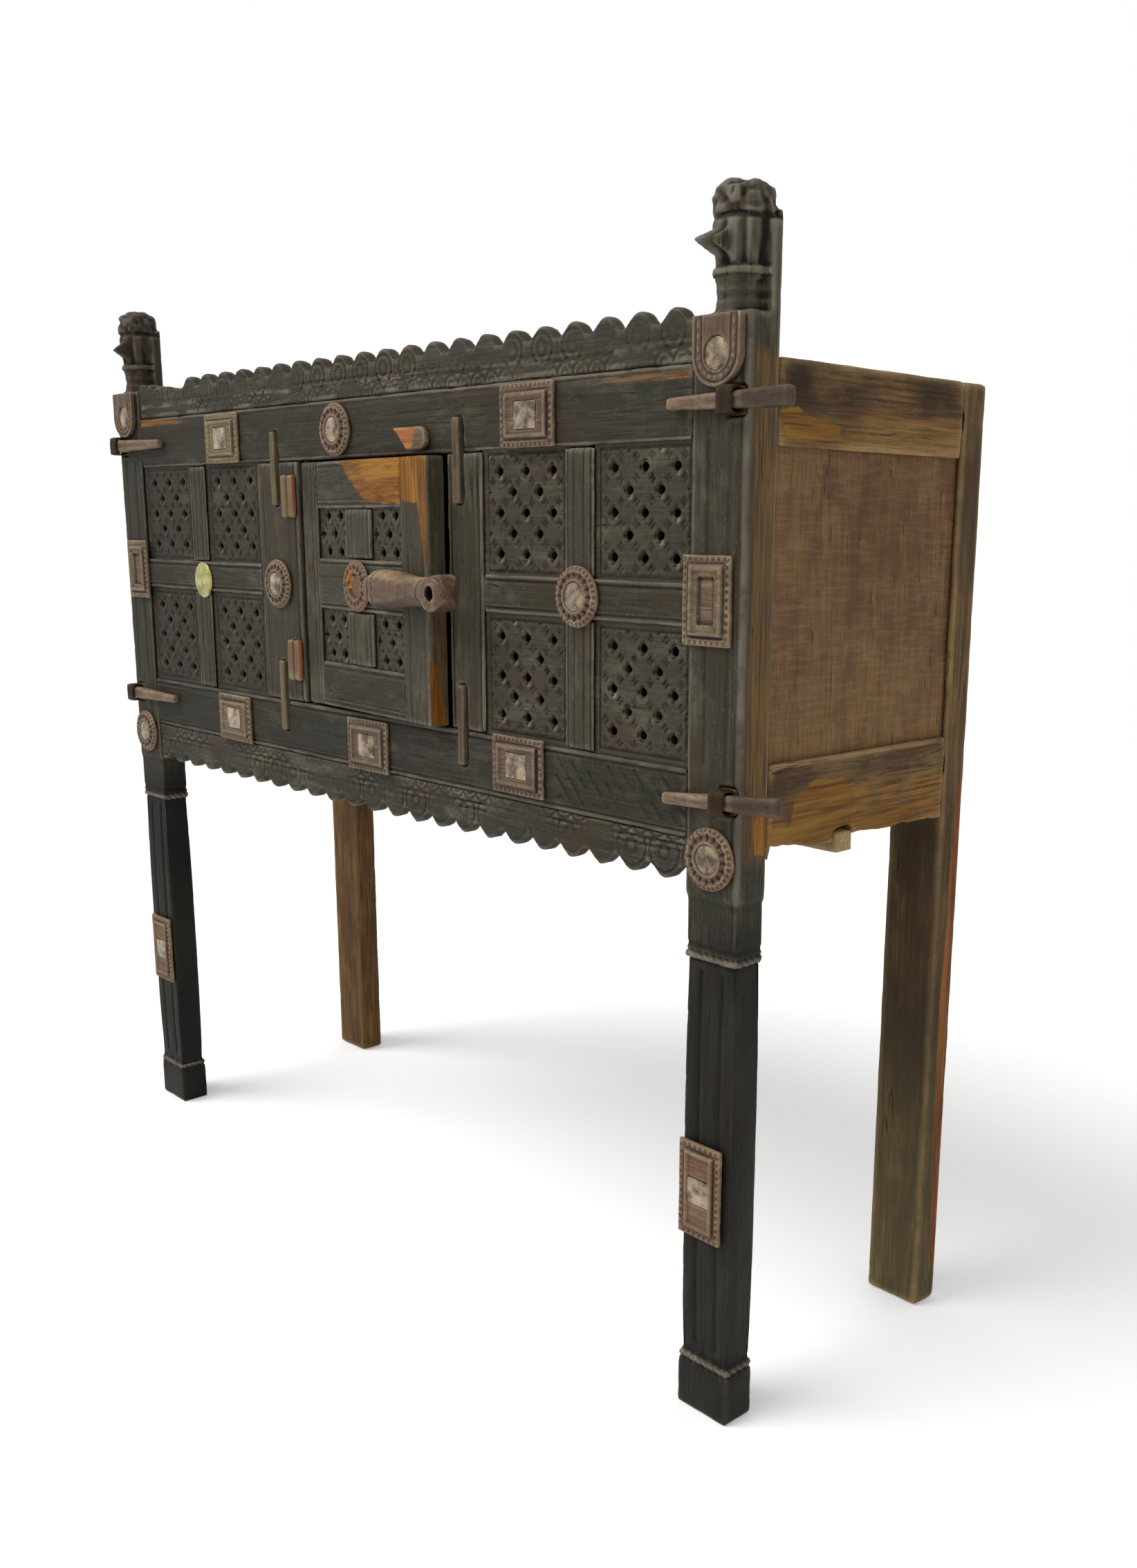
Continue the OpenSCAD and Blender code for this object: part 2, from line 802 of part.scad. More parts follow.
module end_rail(side, z0, h, key_z) {
    difference() {
        at_side(side) difference() {
            union() {
                box([hw - end_t, post_d, z0], [hw, leg_y, z0 + h]);
                end_tenon(key_z);
            }
            end_panel_solid(fit);
        }
        corner_key(side, key_z, fit);
        boards_space(floor_under, floor_t + end_low_h);
        boards_space(top_under, top_t + end_rise + cut);
        batten_solid(fit);
        nail_holes();
    }
}

module left_end_top_rail() {
    color("#6b4f33") seat() end_rail(-1, end_top - end_top_h, end_top_h, upper_key_z);
}

module right_end_top_rail() {
    color("#7a5630") seat() end_rail(1, end_top - end_top_h, end_top_h, upper_key_z);
}

module left_end_bottom_rail() {
    color("#6b4f33") seat() end_rail(-1, end_base, end_low_h, lower_key_z);
}

module right_end_bottom_rail() {
    color("#7a5630") seat() end_rail(1, end_base, end_low_h, lower_key_z);
}

module left_end_panel() {
    color("#5f4a33") seat() at_side(-1) end_panel_solid();
}

module right_end_panel() {
    color("#5f4a33") seat() at_side(1) end_panel_solid();
}

// Back

module back_rail(z0, z1) {
    difference() {
        union() {
            box([-(hw - back_leg_w), back_y, z0], [hw - back_leg_w, carcass_d, z1]);
            back_tenons(z0, z1);
        }
        back_panel_solid(fit);
        bearer_tenons(fit);
    }
}

module back_top_rail() {
    color("#574330") seat() back_rail(head_z, rail_top);
}

module back_bottom_rail() {
    color("#574330") seat() back_rail(base_z, base_top);
}

module back_boards() {
    lo = base_top - groove_in;
    step = (bay_h + 2 * groove_in) / back_planks;
    reach = hw - back_leg_w + groove_in;
    color("#5d4a36") seat() for (i = [0:back_planks - 1])
        box([-reach, back_panel_y, lo + i * step],
            [reach, back_panel_y + panel_t, lo + (i + 1) * step - (i < back_planks - 1 ? fit : 0)]);
}

// Top, floor and what carries them

nail_r = 2;
nail_head_r = 5;
nail_head_h = 1.5;
nail_l = 40;
board_step = (back_y - rail_t) / board_count;
nail_xs = [left_jamb_mid, right_jamb_mid, -(hw - end_t + 7), hw - end_t + 7];

module nail_sites() {
    for (x = nail_xs, i = [0:board_count - 1], f = [0.25, 0.75])
        translate([x, rail_t + (i + f) * board_step, rail_top]) children();
}

module nail_holes() {
    nail_sites() union() {
        translate([0, 0, -nail_l - fit]) cylinder(h = nail_l + cut, r = nail_r + fit, $fn = 16);
        translate([0, 0, -nail_head_h]) cylinder(h = nail_head_h + cut, r = nail_head_r + fit, $fn = 16);
    }
}

module boards(z0, t) {
    difference() {
        for (i = [0:board_count - 1])
            box([-hw + end_t - rebate + fit, rail_t + i * board_step + fit, z0],
                [hw - end_t + rebate - fit, rail_t + (i + 1) * board_step - fit, z0 + t]);
        for (side = [1, -1]) at_side(side) {
            box([post_in, 0, 0], [hw, post_d, finial_top], fit);
            box([hw - back_leg_w, leg_y, 0], [hw, carcass_d, finial_top], fit);
        }
    }
}

module top_boards() {
    color("#4d3b2a") seat() difference() {
        boards(top_under, top_t);
        nail_holes();
    }
}

module floor_boards() {
    color("#5d4a36") seat() boards(floor_under, floor_t);
}

module bearers(z0) {
    for (x = [left_jamb_mid, right_jamb_mid]) {
        box([x - bearer_w / 2, rail_t, z0], [x + bearer_w / 2, back_y, z0 + bearer_h]);
        bearer_tenon(x, z0);
    }
}

module upper_bearers() {
    color("#54412d") seat() difference() {
        bearers(upper_bearer_z);
        nail_holes();
    }
}

module lower_bearers() {
    color("#54412d") seat() bearers(lower_bearer_z);
}

module floor_batten() {
    color("#a58a5c") seat() batten_solid();
}

module top_nails() {
    color("#3a3028") seat() nail_sites() union() {
        translate([0, 0, -nail_head_h]) cylinder(h = nail_head_h, r = nail_head_r, $fn = 16);
        translate([0, 0, -nail_l]) cylinder(h = nail_l - nail_head_h / 2, r = nail_r, $fn = 16);
    }
}

// Keys

module corner_keys() {
    color("#6f604f") seat() for (side = [1, -1], z = [upper_key_z, lower_key_z]) corner_key(side, z);
}

module joint_keys() {
    color("#5a584c") seat() joint_key_set();
}

// Plaques and bosses, each with a round foot let into what carries it

module stepped_plaque(x, z, w, h) {
    difference() {
        union() {
            plate(0, plaque_t) translate([x - w / 2, z - h / 2]) square([w, h]);
            plaque_foot(x, z);
        }
        plate(1 - plaque_t + 1.5, 3) translate([x - w / 2 + 11, z - h / 2 + 10]) square([w - 22, h - 20]);
        plate(mirror_floor - plaque_t, plaque_t) translate([x - mirror_w / 2, z - mirror_h / 2])
            square([mirror_w, mirror_h]);
    }
}

module square_plaques() {
    color("#62524a") seat() for (p = square_sites) stepped_plaque(p[0], p[1], plaque_w, plaque_h);
}

module round_boss(x, z) {
    translate([x, 0, z]) rotate([90, 0, 0]) difference() {
        rotate_extrude($fn = 64) polygon([
            [0, 0], [boss_r, 0], [boss_r, boss_t - 4], [boss_r - 5, boss_t], [mirror_r + 7, boss_t],
            [mirror_r + 4, boss_t - 2], [0, boss_t - 2]
        ]);
        translate([0, 0, boss_t - mirror_floor]) cylinder(h = mirror_floor + cut, r = mirror_r + fit);
    }
    plaque_foot(x, z);
}

module round_bosses() {
    color("#6b594c") seat() for (p = boss_sites) round_boss(p[0], p[1]);
}

module shield_plaques() {
    top = shoulder_z - 2;
    r = shield_w / 2;
    color("#6b5c4a") seat() for (side = [1, -1]) at_side(side) difference() {
        union() {
            plate(0, plaque_t) {
                translate([post_mid - r, shield_z]) square([shield_w, top - shield_z]);
                translate([post_mid, shield_z]) circle(r = r, $fn = 64);
            }
            plaque_foot(post_mid, shield_z);
        }
        plate(mirror_floor - plaque_t, plaque_t) translate([post_mid, shield_z]) circle(r = mirror_r + fit);
        end_tenon(upper_key_z, fit);
    }
}

module post_plaques() {
    color("#62544a") seat() for (side = [1, -1]) at_side(side)
        stepped_plaque(post_mid - 9, post_plaque_z, post_plaque_w, post_plaque_h);
}

module leg_plaques() {
    color("#62524a") seat() for (side = [1, -1]) at_side(side) {
        stepped_plaque(post_mid - 4, leg_plaque_z, leg_plaque_w, leg_plaque_h);
        // Backing let into the relief of the leg behind the plaque
        plate(leg_relief, leg_relief + cut / 2)
            translate([post_mid - 4 - leg_plaque_w / 2 + 3, leg_plaque_z - leg_plaque_h / 2 + 3])
            square([leg_plaque_w - 6, leg_plaque_h - 6]);
    }
}

module square_mirror(x, z) {
    plate(mirror_floor - plaque_t, mirror_t) translate([x - mirror_w / 2 + fit, z - mirror_h / 2 + fit])
        square([mirror_w - 2 * fit, mirror_h - 2 * fit]);
}

module mirrors() {
    color("#b9ab93") seat() {
        for (p = square_sites) square_mirror(p[0], p[1]);
        for (p = boss_sites)
            plate(mirror_floor - boss_t, mirror_t) translate(p) circle(r = mirror_r);
        for (side = [1, -1]) {
            plate(mirror_floor - plaque_t, mirror_t) translate([side * post_mid, shield_z])
                circle(r = mirror_r);
            square_mirror(side * (post_mid - 4), leg_plaque_z);
        }
        mirror_on_mid_rail();
    }
}

module hinge_lugs() {
    color("#7a5a42") seat() {
        lug_tenons();
        for (z = lug_zs) difference() {
            box([lug_x0, -lug_t, z - lug_h / 2], [lug_x1, 0, z + lug_h / 2]);
            box([(lug_x0 + lug_x1) / 2 - 2, -lug_t - cut, z - lug_h / 2 + 3],
                [(lug_x0 + lug_x1) / 2 + 2, -lug_t + 4, z + lug_h / 2 + cut]);
        }
    }
}

module lintel_block() {
    r = lintel_h / 2;
    color("#9a6a40") seat() {
        plate(0, lug_t) {
            polygon([[lintel_x, lintel_z + r], [lintel_x + lintel_w - r, lintel_z + r],
                [lintel_x + lintel_w - r, lintel_z - r], [lintel_x + lintel_h, lintel_z - r]]);
            translate([lintel_x + lintel_w - r, lintel_z]) circle(r = r);
        }
        lintel_tenon();
    }
}

// Door, drawn closed

module door_blanks(g = 0) {
    xc = door_muntin_x;
    for (xs = [[door_in_l, xc - door_muntin_w / 2], [xc + door_muntin_w / 2, door_in_r]])
        for (zs = [[leaf_lo + door_rail_h, door_mid_lo], [door_mid_hi, leaf_hi - door_rail_h]])
            box([xs[0] - groove_in, door_grille_y, zs[0] - groove_in],
                [xs[1] + groove_in, door_grille_y + door_grille_t, zs[1] + groove_in], g);
}

module door_rail_tenons(z0, z1, g = 0) {
    box([door_in_l - door_tenon_l, door_grille_y, z0 + 12],
        [door_in_r + door_tenon_l, door_grille_y + door_grille_t, z1 - 12], g);
}

module door_muntin_tenons(g = 0) {
    box([door_muntin_x - 18, door_grille_y, leaf_lo + door_rail_h - stub],
        [door_muntin_x + 18, door_grille_y + door_grille_t, leaf_hi - door_rail_h + stub], g);
}

module door_tenons(g = 0) {
    door_rail_tenons(leaf_lo, leaf_lo + door_rail_h, g);
    door_rail_tenons(door_mid_lo, door_mid_hi, g);
    door_rail_tenons(leaf_hi - door_rail_h, leaf_hi, g);
}

module door_hinge_stile() {
    color("#403e38") hang() difference() {
        union() {
            box([pivot_x, 0, leaf_lo], [door_in_l, door_t, leaf_hi]);
            translate([pivot_x, pivot_y, leaf_lo]) cylinder(h = leaf_hi - leaf_lo, r = door_t / 2);
            translate([pivot_x, pivot_y, leaf_hi - cut]) cylinder(h = cut + door_gap + pivot_l, r = pivot_r);
            translate([pivot_x, pivot_y, base_top - pivot_l + pivot_fit])
                cylinder(h = pivot_l + door_gap + cut, r = pivot_r);
        }
        door_tenons(fit);
        door_blanks(fit);
    }
}

module door_lock_stile() {
    color("#4a463d") hang() difference() {
        box([door_in_r, 0, leaf_lo], [leaf_r, door_t, leaf_hi]);
        door_tenons(fit);
        door_blanks(fit);
    }
}

module door_rail(z0, z1) {
    difference() {
        union() {
            box([door_in_l, 0, z0], [door_in_r, door_t, z1]);
            door_rail_tenons(z0, z1);
        }
        door_blanks(fit);
        children();
    }
}

module door_top_rail() {
    color("#a06c38") hang() door_rail(leaf_hi - door_rail_h, leaf_hi) door_muntin_tenons(fit);
}

module door_bottom_rail() {
    color("#403e38") hang() door_rail(leaf_lo, leaf_lo + door_rail_h) door_muntin_tenons(fit);
}

module bolt_slot() {
    slot_x = tongue_x - bolt_travel - 1;
    box([slot_x, -cut, bolt_z - tongue_neck_h / 2],
        [door_in_r - 2, neck_d, bolt_z + tongue_neck_h / 2], slide_fit);
    box([slot_x, neck_d, bolt_z - tongue_head_h / 2],
        [door_in_r - 2, neck_d + head_d, bolt_z + tongue_head_h / 2], slide_fit);
}

module door_mid_rail() {
    color("#45423c") hang() door_rail(door_mid_lo, door_mid_hi) {
        bolt_slot();
        plaque_foot(door_muntin_x, mid_z, fit);
    }
}

module door_muntins() {
    color("#45423c") hang() difference() {
        union() {
            for (zs = [[leaf_lo + door_rail_h, door_mid_lo], [door_mid_hi, leaf_hi - door_rail_h]])
                box([door_muntin_x - door_muntin_w / 2, 0, zs[0]],
                    [door_muntin_x + door_muntin_w / 2, door_t, zs[1]]);
            difference() {
                door_muntin_tenons();
                box([leaf_l, -cut, door_mid_lo], [leaf_r, door_t + cut, door_mid_hi], fit);
            }
        }
        door_blanks(fit);
    }
}

module door_grilles() {
    xc = door_muntin_x;
    color("#4a4640") hang() difference() {
        door_blanks();
        for (x = [(door_in_l + xc - door_muntin_w / 2) / 2, (door_in_r + xc + door_muntin_w / 2) / 2],
             z = [(leaf_lo + door_rail_h + door_mid_lo) / 2, (leaf_hi - door_rail_h + door_mid_hi) / 2],
             p = [[0, 0], [-0.5, -0.5], [-0.5, 0.5], [0.5, -0.5], [0.5, 0.5]])
            translate([x + p[0] * door_hole_dx, 0, z + p[1] * door_hole_dz])
                rotate([-90, 0, 0]) cylinder(h = door_t, r = hole_r, $fn = 24);
    }
}

module door_boss() {
    color("#6b4f3c") hang() round_boss(door_muntin_x, mid_z);
}

// Bolt: a rounded barrel with a flat back, an eye at its right end and a tongue in the door's slot

module bolt() {
    back = -bolt_gap;
    mid = bolt_t * 0.4;
    color("#75655a") hang() difference() {
        union() {
            translate([0, back, bolt_z]) intersection() {
                union() {
                    translate([bolt_start, -mid, 0]) rotate([0, 90, 0]) rotate_extrude() polygon([
                        [0, 0], [bolt_h * 0.28, 0], [bolt_h * 0.42, 8], [bolt_h * 0.5, 26],
                        [bolt_h * 0.5, 56], [bolt_h * 0.44, 84], [bolt_h * 0.4, bolt_l - 2 * eye_in - 10],
                        [bolt_h * 0.4, bolt_l - eye_in], [0, bolt_l - eye_in]
                    ]);
                    translate([bolt_end - eye_in, -bolt_t / 2, 0]) rotate([90, 0, 0])
                        cylinder(h = bolt_t, r = eye_in, center = true, $fn = 64);
                }
                box([bolt_start, -bolt_t, -bolt_h / 2], [bolt_end, 0, bolt_h / 2]);
            }
            box([tongue_x, back - 4, bolt_z - tongue_neck_h / 2],
                [tongue_x + tongue_l, neck_d, bolt_z + tongue_neck_h / 2]);
            box([tongue_x, neck_d, bolt_z - tongue_head_h / 2],
                [tongue_x + tongue_l, neck_d + head_d, bolt_z + tongue_head_h / 2]);
        }
        translate([bolt_end - eye_in, back + cut, bolt_z]) rotate([90, 0, 0])
            cylinder(h = bolt_t + 2 * cut, r = eye_r);
    }
}

front_left_post();
front_right_post();
back_left_leg();
back_right_leg();
front_top_rail();
front_bottom_rail();
crest_board();
apron_board();
left_jamb();
right_jamb();
left_mid_rail();
right_mid_rail();
left_muntins();
right_muntins();
left_grilles();
right_grilles();
left_end_top_rail();
right_end_top_rail();
left_end_bottom_rail();
right_end_bottom_rail();
left_end_panel();
right_end_panel();
back_top_rail();
back_bottom_rail();
back_boards();
top_boards();
floor_boards();
upper_bearers();
lower_bearers();
floor_batten();
top_nails();
corner_keys();
joint_keys();
square_plaques();
shield_plaques();
post_plaques();
leg_plaques();
round_bosses();
mirrors();
hinge_lugs();
lintel_block();
door_hinge_stile();
door_lock_stile();
door_top_rail();
door_mid_rail();
door_bottom_rail();
door_muntins();
door_grilles();
door_boss();
bolt();
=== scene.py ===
import json
import math
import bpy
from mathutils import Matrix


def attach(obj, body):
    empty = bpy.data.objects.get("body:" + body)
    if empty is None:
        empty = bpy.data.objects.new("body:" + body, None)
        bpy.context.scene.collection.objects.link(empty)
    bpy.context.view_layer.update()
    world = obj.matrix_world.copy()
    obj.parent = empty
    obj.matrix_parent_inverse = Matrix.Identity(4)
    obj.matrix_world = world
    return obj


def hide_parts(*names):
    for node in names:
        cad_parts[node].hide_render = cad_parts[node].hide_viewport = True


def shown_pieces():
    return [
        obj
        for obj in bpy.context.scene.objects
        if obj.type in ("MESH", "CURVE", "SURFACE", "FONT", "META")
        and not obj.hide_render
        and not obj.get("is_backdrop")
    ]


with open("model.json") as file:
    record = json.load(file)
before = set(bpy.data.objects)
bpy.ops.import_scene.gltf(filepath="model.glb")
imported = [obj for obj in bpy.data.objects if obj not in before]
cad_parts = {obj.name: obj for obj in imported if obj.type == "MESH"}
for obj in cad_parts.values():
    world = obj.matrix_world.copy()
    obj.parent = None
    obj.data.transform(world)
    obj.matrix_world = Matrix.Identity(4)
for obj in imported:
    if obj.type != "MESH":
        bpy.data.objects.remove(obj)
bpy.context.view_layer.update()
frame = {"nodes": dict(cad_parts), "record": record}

from types import SimpleNamespace
import bmesh
import bpy
import numpy as np
from mathutils import Matrix, Vector

# Lengths are in millimetres as the carcass was drawn: x across the front, y back from its face, z up.
chest = {
    "seat": (-26.0, -154.1675), "pivot": (-112.5, 12.5), "ajar": 5.0,
    "postInner": 542, "postMid": 576, "postDepth": 26, "shieldMid": 1040, "shoulder": 1075,
    "ropes": ((54, 62), (484, 494)), "bottomRail": (602, 670), "topRail": (968, 1036),
    "midRail": (801.5, 842.5), "leftBay": (-542, -223), "rightBay": (239, 542), "muntin": 44,
    "pitch": (21, 21), "scallopPitch": 45.5,
}
carcassPlace = Matrix.Scale(0.001, 4) @ Matrix.Translation((*chest["seat"], 0))
doorPlace = (carcassPlace @ Matrix.Translation((*chest["pivot"], 0))
             @ Matrix.Rotation(math.radians(-chest["ajar"]), 4, "Z")
             @ Matrix.Translation((-chest["pivot"][0], -chest["pivot"][1], 0)))
bodyOf = {node: body for body, nodes in frame["record"]["behaviour"]["bodies"].items() for node in nodes}


# Mesh handling

def clearSelection():
    if bpy.context.object and bpy.context.object.mode != "OBJECT":
        bpy.ops.object.mode_set(mode="OBJECT")
    bpy.ops.object.select_all(action="DESELECT")


def takeUp(piece):
    clearSelection()
    piece.select_set(True)
    bpy.context.view_layer.objects.active = piece


def applyModifier(piece, kind, **values):
    takeUp(piece)
    modifier = piece.modifiers.new(kind.lower(), kind)
    for key, value in values.items():
        setattr(modifier, key, value)
    bpy.ops.object.modifier_apply(modifier=modifier.name)


def voxelMesh(piece, size):
    applyModifier(piece, "REMESH", mode="VOXEL", voxel_size=size, adaptivity=0, use_smooth_shade=True)


def easeEdges(piece, width, segments=2):
    applyModifier(piece, "BEVEL", width=width, segments=segments, limit_method="ANGLE")


def placeOf(node):
    return carcassPlace if bodyOf[node] == "carcass" else doorPlace


def mergedCopy(node):
    # a CAD node's loose triangles, merged and brought back to the drawing's millimetres
    mesh = frame["nodes"][node].data.copy()
    mesh.materials.clear()
    mesh.transform(placeOf(node).inverted())
    shell = bmesh.new()
    shell.from_mesh(mesh)
    bmesh.ops.remove_doubles(shell, verts=shell.verts, dist=0.01)
    shell.to_mesh(mesh)
    shell.free()
    piece = bpy.data.objects.new(node + "_aged", mesh)
    bpy.context.scene.collection.objects.link(piece)
    return piece


def readVectors(items, field):
    values = np.empty(len(items) * 3, np.float32)
    items.foreach_get(field, values)
    return values.reshape(-1, 3).astype(np.float64)


def valueNoise(points, size, seed=0):
    # smooth noise from 0 to 1 with features of the given size, the same on each run
    grid = points / size + 1000.0
    cell = np.floor(grid).astype(np.int64)
    part = grid - cell
    part = part * part * (3 - 2 * part)
    total = np.zeros(len(points))
    for corner in range(8):
        step = np.array([corner & 1, corner >> 1 & 1, corner >> 2 & 1])
        x, y, z = (cell + step).T
        key = (x * 73856093) ^ (y * 19349663) ^ (z * 83492791) ^ (seed * 2654435761)
        key = (key ^ (key >> 13)) * 1274126177 & 0xffffffff
        key = (key ^ (key >> 16)) * 2246822519 & 0xffffffff
        weight = np.prod(np.where(step == 1, part, 1 - part), axis=1)
        total += weight * (key ^ (key >> 15)) / 0xffffffff
    return total


def ramp(value, start, end):
    # 0 at start and before it, 1 at end and past it
    return np.clip((value - start) / (end - start), 0, 1)


def spots(at, size, seed, gain, loss, low=0, high=1, stretch=1):
    # noise in patches of this size, from low to high
    return np.clip(valueNoise(at.points * stretch, size, seed) * gain - loss, low, high)


def meanOfNeighbours(values, edges, degree):
    count = len(degree)
    total = (np.bincount(edges[:, 0], values[edges[:, 1]], count)
             + np.bincount(edges[:, 1], values[edges[:, 0]], count))
    return total / degree


def surface(points, normals):
    # what a rule is given: the points in millimetres and their outward normals
    names = ("x", "y", "z", "nx", "ny", "nz")
    return SimpleNamespace(points=points, **dict(zip(names, (*points.T, *normals.T))))


def weather(piece, size, grain="X", shape=None, carve=0.0, fresh=None, bare=0.0, soot=0.0, glint=0.0,
            wear=1.0, worn=1.0, tone=0.5, seed=1):
    # carve and wear move points inward only, what the finish needs is kept in attributes
    # one attribute carries both soot and painted shade, and darkens towards the low colour
    mesh = piece.data
    points = readVectors(mesh.vertices, "co")
    if shape:
        points = shape(points)
        mesh.vertices.foreach_set("co", points.astype(np.float32).ravel())
        mesh.update()
    normals = readVectors(mesh.vertices, "normal")
    edges = np.empty(len(mesh.edges) * 2, np.int32)
    mesh.edges.foreach_get("vertices", edges)
    edges = edges.reshape(-1, 2)
    degree = np.maximum(np.bincount(edges.ravel(), minlength=len(points)), 1)

    def sharpness():
        mean = np.stack([meanOfNeighbours(points[:, axis], edges, degree) for axis in range(3)], 1)
        return -((mean - points) * normals).sum(1) / size

    edgeness = np.clip(sharpness() * 5, 0, 1)
    edgeness = meanOfNeighbours(edgeness, edges, degree) * 0.6 + edgeness * 0.4

    def given(look):
        # a look is a number or a rule that gives one for each point
        return look(at) if callable(look) else np.full(len(points), float(look))

    at = surface(points, normals)
    depth = given(carve)
    stretched = points * [0.3 if axis == grain else 1 for axis in "XYZ"]
    broad = valueNoise(stretched, 30, seed)
    middle = valueNoise(stretched, 9, seed + 1)
    fine = valueNoise(points, 4.5, seed + 2)
    chips = np.clip(valueNoise(points, 17, seed + 3) * 2.2 - 1.25, 0, 1)
    inward = wear * (0.3 * broad + 0.3 * middle + 0.2 * fine)
    inward += wear * edgeness * (0.4 + 0.7 * middle + 1.6 * chips * fine)
    inward += depth * (0.72 + 0.4 * middle)
    points = points - normals * inward[:, None]
    mesh.vertices.foreach_set("co", points.astype(np.float32).ravel())
    mesh.update()
    normals = readVectors(mesh.vertices, "normal")
    at = surface(points, normals)
    bend = sharpness()
    for _ in range(2):
        bend = 0.5 * bend + 0.5 * meanOfNeighbours(bend, edges, degree)
    kept = {   # fresh is 0.5 on a patch's edge, and changes by 1 in 20 mm
        "ridge": bend * 6 * worn + given(glint), "valley": -bend * 6, "tone": given(tone),
        "fresh": 0.5 + given(fresh) / 20 if fresh else given(0),
        "bare": given(bare), "soot": given(soot),
    }
    for name, values in kept.items():
        values = np.clip(values, 0, 1).astype(np.float32)
        mesh.attributes.new(name, "FLOAT", "POINT").data.foreach_set("value", values)
    mesh.shade_smooth()


def settle(piece, node, material):
    # back into the frame, with the place and body of the node that it stands for, in the given finish
    piece.data.transform(placeOf(node))
    piece.data.materials.clear()
    piece.data.materials.append(material)
    piece.data.update()
    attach(piece, bodyOf[node])
    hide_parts(node)


def agePiece(piece, node, material, size, slot=None, **look):
    voxelMesh(piece, size)
    weather(piece, size, grain=material.name[-1], **look)
    settle(piece, node, material)


def unsmoked(at):
    # faces that look into the chest were never blackened
    return 0.75 * ramp(at.ny, 0.4, 0.9)


def agedCopy(node, material, size, **look):
    if material in (carvedAcross, carvedUp):
        look.setdefault("bare", unsmoked)
    agePiece(mergedCopy(node), node, material, size, **look)


# Finishes

def paint(hexColour):
    # an sRGB hex colour as the linear values that Blender mixes
    channels = [int(hexColour[i:i + 2], 16) / 255 for i in (1, 3, 5)]
    return (*[c / 12.92 if c <= 0.04045 else ((c + 0.055) / 1.055) ** 2.4 for c in channels], 1.0)


def addNode(tree, kind, inputs=None, out=0, **settings):
    # an input is a plain value or the output that feeds it, and one output comes back
    node = tree.nodes.new("ShaderNode" + kind)
    for key, value in settings.items():
        setattr(node, key, value)
    for key, value in (inputs or {}).items():
        if isinstance(value, bpy.types.NodeSocket):
            tree.links.new(value, node.inputs[key])
        else:
            node.inputs[key].default_value = value
    return node.outputs[out] if node.outputs else None


def blankFinish(name):
    finish = bpy.data.materials.new(name)
    finish.use_nodes = True
    finish.node_tree.nodes.clear()
    return finish, finish.node_tree, addNode(finish.node_tree, "TexCoord", out="Object")


def between(field, *ends):
    # the inputs of a Map Range node: from low to high, and to low and high where these aren't 0 and 1
    return {"Value": field, **dict(zip(("From Min", "From Max", "To Min", "To Max"), ends))}


